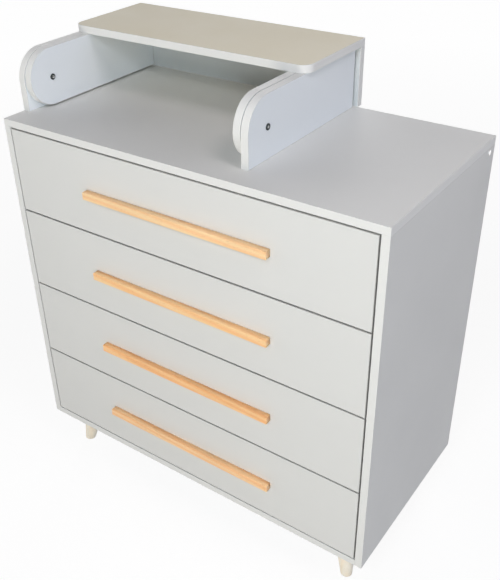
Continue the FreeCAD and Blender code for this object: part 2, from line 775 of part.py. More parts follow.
def make_swing_cheek(side_name, x):
    """A cheek of the swing frame: a full round nose, and a hole for the pivot sleeve."""
    body = new_body(f"swing_cheek_body_{side_name}")
    sketch = sketch_on(body, f"swing_cheek_{side_name}_outline", "YZ_Plane")
    nose = (board_under - swing_bottom) / 2
    middle = swing_bottom + nose
    outline(sketch, [(pivot_y, swing_bottom), (rail_front, swing_bottom),
                     (rail_front, board_under),
                     (pivot_y, board_under, (pivot_y, middle, nose)),
                     (pivot_y - nose, middle, (pivot_y, middle, nose))])
    ring(sketch, pivot_y, pivot_z, sleeve_radius + axle_play)
    pad(body, sketch, board_thick)
    put(body, x, 0, 0)
    node(f"swing_cheek_{side_name}", body)


def make_swing_board():
    """The board of the swing frame, with two rounded front corners."""
    body = new_body("swing_board_body")
    sketch = sketch_on(body, "swing_board_outline", "XY_Plane")
    right = board_left + board_length
    rear = rail_front + board_thick
    outline(sketch, [(board_left, board_front), (right, board_front),
                     (right, rear), (board_left, rear)])
    slab = pad(body, sketch, board_thick)
    middle = plain(board_front + rear) / 2
    upright = Vector(0, 0, 1)
    ease(body, slab, board_corner,
         lambda edge: runs_along(edge, upright) and edge.CenterOfMass.y < middle)
    put(body, 0, 0, board_under)
    node("swing_board", body)


def hexagon(radius):
    """The six corners of a hexagon socket."""
    half = radius / 2
    across = radius * (math.sqrt(3) / 2)
    return [(radius, 0), (half, across), (-half, across), (-radius, 0),
            (-half, -across), (half, -across)]


def make_pivot(side_name, side, outer_face, inner_face):
    """A flat-headed bolt from outside, in a flat-headed sleeve from inside."""
    grip = 2 * board_thick + cheek_gap
    inwards = RIGHTWARDS if side < 0 else LEFTWARDS
    outwards = LEFTWARDS if side < 0 else RIGHTWARDS

    bolt = new_body(f"pivot_bolt_{side_name}")
    sketch = sketch_on(bolt, f"pivot_bolt_{side_name}_section", "XZ_Plane")
    outline(sketch, [(0, -pivot_head_thick), (pivot_head_radius, -pivot_head_thick),
                     (pivot_head_radius, 0), (bolt_radius, 0),
                     (bolt_radius, grip - bolt_radius), (0, grip - bolt_radius)])
    revolve(bolt, sketch)
    socket = sketch_on(bolt, f"pivot_bolt_{side_name}_socket", "XY_Plane")
    bind(socket, "AttachmentOffset.Base.z", -pivot_head_thick)
    outline(socket, hexagon(socket_radius))
    pocket(bolt, socket, socket_depth, backwards=True)
    turn(bolt, *inwards)
    put(bolt, outer_face, pivot_y, pivot_z)

    sleeve = new_body(f"pivot_sleeve_{side_name}")
    sketch = sketch_on(sleeve, f"pivot_sleeve_{side_name}_section", "XZ_Plane")
    bore = bolt_radius + axle_play
    outline(sketch, [(bore, -pivot_head_thick), (pivot_head_radius, -pivot_head_thick),
                     (pivot_head_radius, 0), (sleeve_radius, 0), (sleeve_radius, grip - axle_play),
                     (bore, grip - axle_play)])
    revolve(sleeve, sketch)
    turn(sleeve, *outwards)
    put(sleeve, inner_face, pivot_y, pivot_z)
    return bolt, sleeve


def make_washer(side_name, side, fixed_face):
    """A nylon washer on the sleeve, against the fixed cheek."""
    thick = cheek_gap - running_gap
    left = fixed_face if side < 0 else fixed_face - thick
    disc = rod(f"washer_disc_{side_name}", left, pivot_y, pivot_z, washer_radius, thick, "x")
    hole = rod(f"washer_hole_{side_name}", left, pivot_y, pivot_z,
               sleeve_radius + axle_play, thick, "x")
    return cut(f"washer_{side_name}", disc, [hole])


def make_topper():
    """The fixed cheeks, the swing frame between them and its pivots."""
    step = board_thick + cheek_gap
    sides = (("left", -1, left_cheek_x, left_cheek_x + step),
             ("right", 1, right_cheek_x, right_cheek_x - step))
    bolts = []
    sleeves = []
    washers = []
    for side_name, side, fixed_x, swing_x in sides:
        make_fixed_cheek(side_name, fixed_x)
        make_swing_cheek(side_name, swing_x)
        outer_face = fixed_x if side < 0 else fixed_x + board_thick
        inner_face = swing_x + board_thick if side < 0 else swing_x
        fixed_face = fixed_x + board_thick if side < 0 else fixed_x
        bolt, sleeve = make_pivot(side_name, side, outer_face, inner_face - side * running_gap)
        bolts.append(bolt)
        sleeves.append(sleeve)
        washers.append(make_washer(side_name, side, fixed_face))
    node("pivot_bolts", group("pivot_bolt_pair", bolts))
    node("pivot_sleeves", group("pivot_sleeve_pair", sleeves))
    node("pivot_washers", group("pivot_washer_pair", washers))
    make_swing_board()
    node("swing_rail", block("swing_rail_board", board_left, rail_front, rail_bottom,
                             board_length, board_thick, board_under - rail_bottom))


# ---------------------------------------------------------------- fasteners

def make_fasteners():
    """Connector screws of the rear rail and the fixed cheeks, and the caps on the sides."""
    screws = [connector_screw(f"screw_{name}", *place) for name, *place in screw_places]
    node("connector_screws", group("connector_screw_set", screws))
    caps = [rod("cap_left", carcass_left - cap_thick, rail_screw_y, rail_screw_z,
                cap_radius, cap_thick, "x"),
            rod("cap_right", carcass_right, rail_screw_y, rail_screw_z,
                cap_radius, cap_thick, "x")]
    node("screw_caps", group("screw_cap_pair", caps))


# ---------------------------------------------------------------- build and write

def check(items):
    """Stop if any object of the document failed or any sub-part has no sound shape."""
    for item in doc.Objects:
        bad = [state for state in item.State if state in ("Invalid", "Error")]
        assert not bad, f"{item.Label}: {bad}"
    for item in items:
        assert not item.Shape.isNull() and item.Shape.isValid(), f"{item.Label} has no sound shape"
        assert item.Shape.Solids, f"{item.Label} has no solid"


def write(items):
    """Write each sub-part to a file of its own name."""
    os.makedirs("parts", exist_ok=True)
    for item in items:
        item.Shape.exportStep(os.path.join("parts", f"{item.Label}.step"))


make_carcass()
make_legs()
make_drawers()
make_topper()
make_fasteners()
doc.recompute()
check(nodes)
write(nodes)
print(f"{len(nodes)} nodes")
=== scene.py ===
"""The looks of the changing dresser: its boards, turned legs, bar handles, fittings and finishes.

Every length is in metres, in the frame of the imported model: +Z is up, the drawers open towards -Y,
and the origin is on the floor under the middle of the object.
"""

import json
import logging
import math
from collections.abc import Callable
from dataclasses import dataclass
from enum import Enum, IntEnum

import bmesh
import bpy
from mathutils import Euler, Matrix, Vector


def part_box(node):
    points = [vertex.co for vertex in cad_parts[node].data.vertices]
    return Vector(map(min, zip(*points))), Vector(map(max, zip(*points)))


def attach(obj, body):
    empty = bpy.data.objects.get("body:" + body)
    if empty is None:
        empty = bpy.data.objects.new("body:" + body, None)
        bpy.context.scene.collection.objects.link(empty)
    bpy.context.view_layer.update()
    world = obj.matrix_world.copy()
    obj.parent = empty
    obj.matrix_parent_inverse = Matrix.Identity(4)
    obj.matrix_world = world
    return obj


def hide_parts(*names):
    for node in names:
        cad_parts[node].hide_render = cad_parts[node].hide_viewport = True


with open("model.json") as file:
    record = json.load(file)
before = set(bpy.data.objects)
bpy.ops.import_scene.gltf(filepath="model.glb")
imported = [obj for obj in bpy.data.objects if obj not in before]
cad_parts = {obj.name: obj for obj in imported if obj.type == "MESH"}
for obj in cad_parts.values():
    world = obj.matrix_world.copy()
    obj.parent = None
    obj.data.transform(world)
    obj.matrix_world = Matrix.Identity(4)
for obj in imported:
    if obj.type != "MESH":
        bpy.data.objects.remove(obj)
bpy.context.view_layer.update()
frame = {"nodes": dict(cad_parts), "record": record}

MM = 0.001
TINY = 1e-9
WELD = 0.002 * MM  # points that lie this close are one
TOUCH = 0.01 * MM  # what comes this close to a plane lies on it
PLANE_ANGLE = math.radians(0.5)  # faces that meet at less are one plane
SIXTH = math.pi / 3  # a sixth of a turn
ROUND_MIDDLE = 1 - math.sqrt(0.5)  # how far in the middle of a rounding lies, in its radius
ROUND_POINTS = 48  # points in a ring of a small turned part
NOISE_MIDDLE = 0.5  # of the values that a noise gives
MIX_INPUTS = (0, 6, 7)  # where a mix node takes its factor and its two colours
MIX_OUTPUT = 2  # where it gives their blend
DRAWER_NUMBERS = (1, 2, 3, 4)
SWING_NODES = frame["record"]["behaviour"]["bodies"]["swing_frame"]

Colour = tuple[float, float, float, float]
Inputs = dict[str | int, object]
Mesh = bpy.types.Mesh
Piece = bpy.types.Object
Ring = list[Vector]
Shape = bmesh.types.BMesh
Socket = bpy.types.NodeSocket

logging.basicConfig(level=logging.INFO, format="%(levelname)s %(name)s: %(message)s")
log = logging.getLogger("changing_dresser")


class Axis(Enum):
    """A direction of the frame."""

    X = 0
    Y = 1
    Z = 2


class Layer(IntEnum):
    """What a face of a board shows, as the material index in its mesh."""

    FACE = 0
    BAND = 1
    SEAM = 2
    CORE = 3


class Slot(Enum):
    """The record's material slots."""

    MELAMINE = "melamine"
    BOX_BOARD = "box_board"
    HARDBOARD = "hardboard"
    HANDLE_WOOD = "handle_wood"
    LEG_WOOD = "leg_wood"
    RUNNER_STEEL = "runner_steel"
    ZINC_STEEL = "zinc_steel"
    NYLON = "nylon"


# ---------------------------------------------------------------- shader building

# The curve between a display's channel and linear light.
CURVE_KNEE, CURVE_SLOPE, CURVE_SHIFT, CURVE_POWER = 0.04045, 12.92, 0.055, 2.4
# What kind of socket an input gets from its standing value.
SOCKETS = {float: "NodeSocketFloat", int: "NodeSocketInt", bool: "NodeSocketBool",
           tuple: "NodeSocketColor"}


def srgb(red: int, green: int, blue: int) -> Colour:
    """Turn a display colour, with channels from 0 to 255, into a linear one.

    Args:
        red: The red channel.
        green: The green channel.
        blue: The blue channel.

    Returns:
        The linear colour with an alpha of one.
    """
    shares = [channel / 255 for channel in (red, green, blue)]
    linear = [share / CURVE_SLOPE if share <= CURVE_KNEE
              else ((share + CURVE_SHIFT) / (1 + CURVE_SHIFT)) ** CURVE_POWER for share in shares]
    return (*linear, 1.0)


class Graph:
    """A node tree under construction."""

    def __init__(self, tree: bpy.types.NodeTree) -> None:
        """Start with the tree that nodes are added to."""
        self.tree = tree

    def add(self, kind: str, inputs: Inputs | None = None, **settings: object) -> bpy.types.Node:
        """Add a node.

        Args:
            kind: The node's type name.
            inputs: Values or output sockets for its inputs, by name or index.
            settings: Values for its properties.

        Returns:
            The new node.
        """
        node = self.tree.nodes.new(kind)
        for name, value in settings.items():
            setattr(node, name, value)
        for name, source in (inputs or {}).items():
            self.feed(node, name, source)
        return node

    def out(self, kind: str, inputs: Inputs, **settings: object) -> Socket:
        """Add a node as add does, and return its first output."""
        return self.add(kind, inputs, **settings).outputs[0]

    def feed(self, node: bpy.types.Node, name: str | int, source: object) -> None:
        """Link an output socket to an input, or set the input's value.

        Args:
            node: The node that is fed.
            name: The input's name or index.
            source: An output socket or a plain value.
        """
        if isinstance(source, Socket):
            self.tree.links.new(source, node.inputs[name])
        else:
            node.inputs[name].default_value = source

    def span(self, value: Socket, low: object, high: object, start: float = 0.0,
             end: float = 1.0) -> Socket:
        """Map a value from the range start to end onto the range low to high."""
        inputs = {"Value": value, "From Min": start, "From Max": end, "To Min": low, "To Max": high}
        return self.add("ShaderNodeMapRange", inputs).outputs["Result"]

    def math(self, operation: str, first: object, second: object) -> Socket:
        """Combine two values or sockets by a named sum, such as MULTIPLY."""
        return self.out("ShaderNodeMath", {0: first, 1: second}, operation=operation)

    def vector(self, operation: str, inputs: Inputs) -> Socket:
        """Work on vectors by a named sum, such as ADD."""
        return self.out("ShaderNodeVectorMath", inputs, operation=operation)

    def mix(self, kind: str, factor: object, first: object, second: object) -> Socket:
        """Blend two colours.

        Args:
            kind: The blend, MIX or MULTIPLY.
            factor: The share of the second colour.
            first: The first colour.
            second: The second colour.

        Returns:
            The blended colour.
        """
        node = self.add("ShaderNodeMix", dict(zip(MIX_INPUTS, (factor, first, second))),
                        data_type="RGBA", blend_type=kind)
        return node.outputs[MIX_OUTPUT]

    def noise(self, vector: Socket, scale: object, detail: float, roughness: float) -> list[Socket]:
        """Add a noise texture and return its value and its colour."""
        inputs = {"Vector": vector, "Scale": scale, "Detail": detail, "Roughness": roughness}
        return list(self.add("ShaderNodeTexNoise", inputs).outputs)

    def grey(self, value: Socket) -> Socket:
        """Make a grey of a value."""
        return self.out("ShaderNodeCombineColor", {0: value, 1: value, 2: value})


class Group:
    """A node group with a graph, its inputs and its outputs."""

    def __init__(self, name: str, kind: str, inputs: dict[str, object],
                 outputs: dict[str, str]) -> None:
        """Make the group's tree and its sockets.

        Args:
            name: The group's name.
            kind: The tree's type name.
            inputs: Input names with their standing values, or with a socket type that has none.
            outputs: Output names with their socket types.
        """
        self.tree = bpy.data.node_groups.new(name, kind)
        for label, value in inputs.items():
            bare = isinstance(value, str)
            socket = self.tree.interface.new_socket(
                label, in_out="INPUT", socket_type=value if bare else SOCKETS[type(value)])
            if not bare:
                socket.default_value = value
        for label, socket_type in outputs.items():
            self.tree.interface.new_socket(label, in_out="OUTPUT", socket_type=socket_type)
        self.graph = Graph(self.tree)
        self.source = self.graph.add("NodeGroupInput").outputs
        self.target = self.graph.add("NodeGroupOutput")

    def send(self, **results: Socket) -> None:
        """Link results to the group's outputs by their names."""
        for label, socket in results.items():
            self.graph.feed(self.target, label, socket)


def shader_group(name: str, inputs: dict[str, object], *outputs: str) -> Group:
    """Start a shader effect that several materials place with their own values.

    Args:
        name: The group's name.
        inputs: The inputs after the vector, as Group takes them.
        outputs: The names of its outputs: one that is called Color is a colour.

    Returns:
        The group.
    """
    kinds = {label: "NodeSocketColor" if label == "Color" else "NodeSocketFloat"
             for label in outputs}
    return Group(name, "ShaderNodeTree", {"Vector": "NodeSocketVector", **inputs}, kinds)


def make_drift_group() -> bpy.types.NodeTree:
    """Build the slow change of tone that any large surface shows.

    Returns:
        The group's tree.
    """
    group = shader_group("tone_drift", {"Color": srgb(220, 220, 216), "Amount": 0.04,
                                        "Size": 0.35}, "Color")
    graph, source = group.graph, group.source
    scale = graph.math("DIVIDE", 1.0, source["Size"])
    cloud = graph.noise(source["Vector"], scale, detail=3.0, roughness=0.5)[0]
    gain = graph.math("MULTIPLY", graph.math("SUBTRACT", cloud, NOISE_MIDDLE), source["Amount"])
    tone = graph.grey(graph.math("ADD", gain, 1.0))
    group.send(Color=graph.mix("MULTIPLY", 1.0, source["Color"], tone))
    return group.tree


def make_pearl_group() -> bpy.types.NodeTree:
    """Build the fine pearl texture that is pressed into melamine foil.

    Returns:
        The group's tree.
    """
    group = shader_group("pearl_foil", {"Grain": 1.1 * MM, "Rough Low": 0.36,
                                        "Rough High": 0.48}, "Height", "Roughness")
    graph, source = group.graph, group.source
    scale = graph.math("DIVIDE", 1.0, source["Grain"])
    pearl = graph.noise(source["Vector"], scale, detail=2.0, roughness=0.6)[0]
    haze = graph.noise(source["Vector"], scale=9.0, detail=4.0, roughness=0.6)[0]
    rough = graph.span(haze, source["Rough Low"], source["Rough High"], start=0.3, end=0.7)
    group.send(Height=pearl, Roughness=rough)
    return group.tree


def make_grain_group() -> bpy.types.NodeTree:
    """Build straight wood grain that runs along the vector's X axis.

    Returns:
        The group's tree.
    """
    group = shader_group("straight_grain", {"Light": srgb(226, 172, 112),
                                            "Dark": srgb(186, 122, 66), "Line Width": 4 * MM,
                                            "Waviness": 2.2, "Pores": 0.35},
                         "Color", "Height", "Mask")
    stretch, pore_colour = (0.06, 1.0, 1.0), srgb(150, 104, 64)
    rings_to_line, fibres_to_line, pores_to_line = 0.16, 5.0, 9.0
    ring_share, fibre_share = 0.55, 0.6
    graph, source = group.graph, group.source
    scale = graph.math("DIVIDE", 1.0, source["Line Width"])
    long_way = graph.out("ShaderNodeMapping", {"Vector": source["Vector"], "Scale": stretch})
    bend = graph.noise(long_way, scale=40.0, detail=2.0, roughness=0.5)[1]
    shift = graph.vector("SUBTRACT", {0: bend, 1: (NOISE_MIDDLE,) * 3})
    pull = graph.math("MULTIPLY", source["Waviness"], source["Line Width"])
    rings_at = graph.vector("ADD", {0: long_way,
                                    1: graph.vector("SCALE", {0: shift, "Scale": pull})})
    rings = graph.add("ShaderNodeTexWave",
                      {"Vector": rings_at, "Scale": graph.math("MULTIPLY", scale, rings_to_line),
                       "Distortion": 1.6, "Detail": 2.0, "Detail Scale": 1.4},
                      wave_type="BANDS", bands_direction="DIAGONAL", wave_profile="SIN").outputs[1]
    fibre = graph.noise(long_way, graph.math("MULTIPLY", scale, fibres_to_line), detail=4.0,
                        roughness=0.65)[0]
    pore_field = graph.noise(long_way, graph.math("MULTIPLY", scale, pores_to_line), detail=1.0,
                             roughness=0.4)[0]
    pores = graph.span(pore_field, 0.0, 1.0, start=0.62, end=0.74)
    tone = graph.math("ADD", graph.math("MULTIPLY", rings, ring_share),
                      graph.math("MULTIPLY", fibre, fibre_share))
    colour = graph.mix("MIX", tone, source["Light"], source["Dark"])
    depth = graph.math("MULTIPLY", pores, source["Pores"])
    group.send(Color=graph.mix("MULTIPLY", depth, colour, pore_colour),
               Height=graph.math("SUBTRACT", fibre, pores), Mask=tone)
    return group.tree


GROUPS = {"drift": make_drift_group(), "pearl": make_pearl_group(), "grain": make_grain_group()}


class Paint:
    """A material under construction, with its graph, its shader and the object coordinates."""

    def __init__(self, name: str) -> None:
        """Start an empty material.

        Args:
            name: The material's name.
        """
        self.material = bpy.data.materials.new(name)
        self.material.use_nodes = True
        self.graph = Graph(self.material.node_tree)
        self.shader = self.material.node_tree.nodes["Principled BSDF"]
        self.place = self.graph.add("ShaderNodeTexCoord").outputs["Object"]

    def effect(self, name: str, inputs: dict[str, object]) -> bpy.types.NodeOutputs:
        """Place a shader group with its own values and return its outputs."""
        return self.graph.add("ShaderNodeGroup", inputs, node_tree=GROUPS[name]).outputs

    def drifted(self, colour: object, amount: float, size: float) -> Socket:
        """Let a colour drift by an amount, in clouds of a size."""
        inputs = {"Vector": self.place, "Color": colour, "Amount": amount, "Size": size}
        return self.effect("drift", inputs)["Color"]

    def cover(self, colour: Socket, rough: Socket, height: Socket,
              relief: tuple[float, float]) -> None:
        """Feed the shader what changes over the surface.

        Args:
            colour: The colour.
            rough: The roughness.
            height: The height of the bumps, from 0 to 1.
            relief: The bumps' strength and depth.
        """
        bump = self.graph.out("ShaderNodeBump", {"Height": height, "Strength": relief[0],
                                                 "Distance": relief[1]})
        self.graph.feed(self.shader, "Base Color", colour)
        self.graph.feed(self.shader, "Roughness", rough)
        self.graph.feed(self.shader, "Normal", bump)

    def fix(self, name: str, value: float) -> None:
        """Set a value that is the same all over the surface."""
        self.shader.inputs[name].default_value = value


MADE: dict[str, bpy.types.Material] = {}


@dataclass(frozen=True)
class Finish:
    """What every finish shares: its name and the slot that it stands for."""

    name: str
    slot: Slot

    def material(self) -> bpy.types.Material:
        """Make the material at first use, and return it.

        Returns:
            The one material of this finish.
        """
        if self.name not in MADE:
            paint = Paint(self.name)
            self.apply(paint)
            MADE[self.name] = paint.material
        return MADE[self.name]

    def apply(self, paint: Paint) -> None:
        """Fill in a material. Each kind of finish has its own way."""
        raise NotImplementedError


@dataclass(frozen=True)
class Foil(Finish):
    """Melamine foil or plastic edge band with a pearl texture."""

    colour: Colour = srgb(222, 222, 219)
    drift: float = 0.045
    patch: float = 0.35
    grain: float = 1.1 * MM
    depth: float = 0.03 * MM
    strength: float = 0.5
    rough: tuple[float, float] = (0.36, 0.48)
    speck: tuple[float, float] = (0.985, 1.015)
    gloss: float = 0.3

    def apply(self, paint: Paint) -> None:
        """Give a material the foil's drifting tone, specks and pearl relief.

        Args:
            paint: The material.
        """
        pearl = paint.effect("pearl", {"Vector": paint.place, "Grain": self.grain,
                                       "Rough Low": self.rough[0], "Rough High": self.rough[1]})
        speck = paint.graph.grey(paint.graph.span(pearl["Height"], *self.speck))
        tone = paint.drifted(self.colour, self.drift, self.patch)
        paint.cover(paint.graph.mix("MULTIPLY", 1.0, tone, speck), pearl["Roughness"],
                    pearl["Height"], (self.strength, self.depth))
        paint.fix("Specular IOR Level", self.gloss)


@dataclass(frozen=True)
class Wood(Finish):
    """Clear-lacquered solid wood with straight grain."""

    light: Colour
    dark: Colour
    along: Axis = Axis.X
    line_width: float = 4 * MM
    pores: float = 0.35
    drift: float = 0.22
    patch: float = 0.12
    rough: tuple[float, float] = (0.38, 0.55)
    relief: tuple[float, float] = (0.35, 0.06 * MM)
    lacquer: float = 0.12
    lacquer_rough: float = 0.35

    def apply(self, paint: Paint) -> None:
        """Give a material the wood's grain and its coat of lacquer.

        Args:
            paint: The material.
        """
        turn = (0, math.pi / 2, 0) if self.along is Axis.Z else (0, 0, 0)
        vector = paint.graph.out("ShaderNodeMapping", {"Vector": paint.place, "Rotation": turn})
        grain = paint.effect("grain", {"Vector": vector, "Light": self.light,
                                       "Dark": self.dark, "Line Width": self.line_width,
                                       "Pores": self.pores})
        paint.cover(paint.drifted(grain["Color"], self.drift, self.patch),
                    paint.graph.span(grain["Mask"], *self.rough), grain["Height"], self.relief)
        paint.fix("Coat Weight", self.lacquer)
        paint.fix("Coat Roughness", self.lacquer_rough)


@dataclass(frozen=True)
class Coat(Finish):
    """Powder coat or moulded plastic with a faint orange-peel skin."""

    colour: Colour = srgb(226, 226, 222)
    rough: tuple[float, float] = (0.32, 0.46)
    scale: float = 1 / (1.6 * MM)
    detail: float = 2.0
    grit: float = 0.5
    drift: float = 0.08
    patch: float = 30 * MM
    relief: tuple[float, float] = (0.4, 0.05 * MM)
    metallic: float = 0.0

    def apply(self, paint: Paint) -> None:
        """Give a material the coat's tone, its uneven shine and its skin.

        Args:
            paint: The material.
        """
        skin = paint.graph.noise(paint.place, self.scale, self.detail, self.grit)[0]
        paint.cover(paint.drifted(self.colour, self.drift, self.patch),
                    paint.graph.span(skin, *self.rough), skin, self.relief)
        paint.fix("Metallic", self.metallic)


@dataclass(frozen=True)
class Metal(Coat):
    """Plated steel with a slightly uneven shine."""

    colour: Colour = srgb(196, 196, 194)
    rough: tuple[float, float] = (0.24, 0.42)
    scale: float = 380.0
    detail: float = 4.0
    grit: float = 0.6
    drift: float = 0.25
    patch: float = 10 * MM
    relief: tuple[float, float] = (0.2, 0.02 * MM)
    metallic: float = 1.0


FOIL = Foil("melamine_foil", Slot.MELAMINE)
BAND = Foil("edge_band", Slot.MELAMINE, srgb(230, 230, 227), drift=0.03, grain=0.8 * MM,
            depth=0.015 * MM, rough=(0.30, 0.40))
GLUE_LINE = Foil("glue_line", Slot.MELAMINE, srgb(168, 167, 163), drift=0.1)
# Drawer fronts: their edge band and the thin line round their rim are painted dark, as painted shade
# in the gaps between the fronts.
FRONT_GAP_SHADE_BAND = Foil("front_edge_band", Slot.MELAMINE, srgb(184, 183, 179), drift=0.03)
FRONT_GAP_SHADOW_LINE = Foil("front_glue_line", Slot.MELAMINE, srgb(112, 111, 108), drift=0.1)
# The swing board's foil is painted a warmer, darker beige than the other boards, as painted warm
# light on its top.
SWING_WARM_LIT_FOIL = Foil("swing_board_foil", Slot.MELAMINE, srgb(224, 216, 193))
# The cheeks' foil is painted lighter and bluer than the other boards, as painted cool light on the
# cheeks.
CHEEK_LIT_FOIL = Foil("cheek_foil", Slot.MELAMINE, srgb(236, 241, 244))
# The swing rail's foil is painted a little darker than the other boards, as painted shade under the
# swing board.
RAIL_SHADED_FOIL = Foil("swing_rail_foil", Slot.MELAMINE, srgb(214, 219, 220))
BOX_FOIL = Foil("box_foil", Slot.BOX_BOARD, srgb(226, 226, 222))
BOX_BAND = Foil("box_edge_band", Slot.BOX_BOARD, srgb(230, 230, 227), drift=0.03)
SHEET_FOIL = Foil("hardboard_lacquer", Slot.HARDBOARD, srgb(228, 228, 224), drift=0.07,
                  grain=0.7 * MM, rough=(0.42, 0.56))
SHEET_EDGE = Foil("hardboard_edge", Slot.HARDBOARD, srgb(150, 112, 74), drift=0.25,
                  grain=0.5 * MM, depth=0.12 * MM, rough=(0.6, 0.8))
CORE = Foil("particle_core", Slot.MELAMINE, srgb(190, 166, 132), drift=0.3, grain=1.6 * MM,
            depth=0.25 * MM, rough=(0.7, 0.9))
HANDLE_TONES = {1: ((255, 224, 175), (249, 197, 142)), 2: ((255, 219, 164), (251, 191, 130)),
                3: ((255, 211, 153), (247, 179, 116)), 4: ((255, 217, 166), (250, 189, 131))}
HANDLE_WOODS = {number: Wood(f"handle_wood_{number}", Slot.HANDLE_WOOD, srgb(*light), srgb(*dark))
                for number, (light, dark) in HANDLE_TONES.items()}
LEG_WOOD = Wood("leg_wood", Slot.LEG_WOOD, srgb(255, 250, 235), srgb(253, 237, 212),
                along=Axis.Z, pores=0.2)
ZINC = Metal("zinc_plate", Slot.ZINC_STEEL)
HEAD_STEEL = Metal("blackened_head", Slot.ZINC_STEEL, srgb(74, 80, 80), rough=(0.35, 0.5))
RUNNER_COAT = Coat("runner_powder_coat", Slot.RUNNER_STEEL)
NYLON = Coat("white_nylon", Slot.NYLON, srgb(233, 232, 227), rough=(0.4, 0.52))
CAP = Metal("cap_gloss", Slot.NYLON, srgb(253, 253, 252), rough=(0.12, 0.2))
# A dark ring at the foot of each cap: painted shadow where the cap meets the side panel.
CAP_PAINTED_SHADOW = Coat("cap_shadow_rim", Slot.NYLON, srgb(92, 91, 88), rough=(0.5, 0.65))


# ---------------------------------------------------------------- mesh building

def new_piece(name: str, data: bpy.types.ID) -> Piece:
    """Link a mesh, a lamp or a camera into the scene as an object at the origin.

    Args:
        name: The object's name.
        data: What it shows.

    Returns:
        The object.
    """
    piece = bpy.data.objects.new(name, data)
    bpy.context.scene.collection.objects.link(piece)
    return piece


def evaluated_mesh(piece: Piece) -> Mesh:
    """The plain mesh that a piece's modifiers make of it."""
    depsgraph = bpy.context.evaluated_depsgraph_get()
    return bpy.data.meshes.new_from_object(piece.evaluated_get(depsgraph))


def mount(name: str, mesh: Mesh, body: str, finishes: list[Finish], *nodes: str) -> None:
    """Make a piece of a mesh, shade and dress it, and let it ride in its nodes' place.

    Its rounded edges are shaded smoothly while its large faces stay flat.

    Args:
        name: The piece's name.
        mesh: Its mesh, already in place.
        body: The body that it moves with.
        finishes: One finish for each of the mesh's material indices.
        nodes: The nodes that it replaces.
    """
    piece = new_piece(name, mesh)
    mesh.shade_smooth()
    weights = piece.modifiers.new("face_weights", "WEIGHTED_NORMAL")
    weights.weight = 100
    weights.keep_sharp = True
    shaded = evaluated_mesh(piece)
    shaded.name = name
    piece.modifiers.clear()
    piece.data = shaded
    indices = [min(face.material_index, len(finishes) - 1) for face in shaded.polygons]
    shaded.materials.clear()
    for finish in finishes:
        shaded.materials.append(finish.material())
    shaded.polygons.foreach_set("material_index", indices)
    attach(piece, body)
    if nodes:
        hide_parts(*nodes)
    log.info("%s: %d faces, rides on %s", name, len(indices), body)


def keep_node(node: str, finish: Finish) -> None:
    """Leave a node's own mesh in view and give it a better material.

    Args:
        node: The node's name.
        finish: Its finish.
    """
    for slot in frame["nodes"][node].material_slots:
        slot.material = finish.material()
    log.info("%s: its own mesh, in %s", node, finish.name)


def mesh_of(shape: Shape) -> Mesh:
    """Turn an edit mesh into a mesh and free it.

    Args:
        shape: The edit mesh.

    Returns:
        The mesh.
    """
    mesh = bpy.data.meshes.new("mesh")
    shape.to_mesh(mesh)
    shape.free()
    return mesh


def joined_mesh(meshes: list[Mesh]) -> Mesh:
    """Put several meshes into one, with their material indices kept.

    Args:
        meshes: The meshes to join.

    Returns:
        The joined mesh.
    """
    shape = bmesh.new()
    for mesh in meshes:
        shape.from_mesh(mesh)
    return mesh_of(shape)


def lofted_mesh(rings: list[Ring], closed: bool = False,
                index_of: Callable[[int], int] = lambda row: 0) -> Mesh:
    """Span faces between rings that have the same number of points.

    Args:
        rings: The rings in order.
        closed: Whether the last ring joins the first. Otherwise both ends are filled.
        index_of: Gives the material index of the band of faces after each ring.

    Returns:
        The mesh.
    """
    shape = bmesh.new()
    rows = [[shape.verts.new(point) for point in ring] for ring in rings]
    pairs = list(zip(rows, rows[1:])) + ([(rows[-1], rows[0])] if closed else [])
    for row, (first, second) in enumerate(pairs):
        for step, start in enumerate(first):
            after = (step + 1) % len(first)
            face = shape.faces.new((start, first[after], second[after], second[step]))
            face.material_index = index_of(row)
    if not closed:
        shape.faces.new(rows[0])
        shape.faces.new(rows[-1]).material_index = index_of(len(rows) - 1)
    bmesh.ops.recalc_face_normals(shape, faces=shape.faces)
    return mesh_of(shape)


def evenly(count: int) -> list[float]:
    """Angles that divide a turn evenly."""
    return [2 * math.pi * step / count for step in range(count)]


def level_ring(reach: Callable[[float], float], height: float, angles: list[float]) -> Ring:
    """A level line about the Z axis, with its reach at each angle."""
    return [Vector((reach(turn) * math.cos(turn), reach(turn) * math.sin(turn), height))
            for turn in angles]


def round_ring(radius: float, height: float, angles: list[float]) -> Ring:
    """A circle about the Z axis."""
    return level_ring(lambda turn: radius, height, angles)


def hexagon_ring(radius: float, height: float, angles: list[float]) -> Ring:
    """A hexagon about the Z axis with the given radius at its corners."""
    flat = radius * math.cos(SIXTH / 2)
    return level_ring(lambda turn: flat / math.cos(turn % SIXTH - SIXTH / 2), height, angles)


def cross_ring(radius: float, half_width: float, height: float, angles: list[float]) -> Ring:
    """A cross about the Z axis, of two bars.

    Args:
        radius: How far the bars reach.
        half_width: Half the width of a bar.
        height: The height of the ring.
        angles: Where its points stand.

    Returns:
        The points.
    """
    def reach(turn: float) -> float:
        """How far the cross reaches at an angle."""
        small, large = sorted((abs(math.cos(turn)), abs(math.sin(turn))))
        return min(radius / large, half_width / max(small, TINY))

    return level_ring(reach, height, angles)


def facing(place: Vector, axis: Axis, sign: int) -> Matrix:
    """Where something goes that looks along local +Z, so that it looks along an axis.

    Args:
        place: The point that local zero goes to.
        axis: The axis that it looks along.
        sign: Which way along the axis.

    Returns:
        The placement.
    """
    direction = Vector((0.0, 0.0, 0.0))
    direction[axis.value] = float(sign)
    turned = direction.to_track_quat("Z", "Y").to_matrix().to_4x4()
    return Matrix.Translation(place) @ turned


def middle_of(node: str) -> Vector:
    """The middle of a node's box."""
    low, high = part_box(node)
    return (low + high) / 2


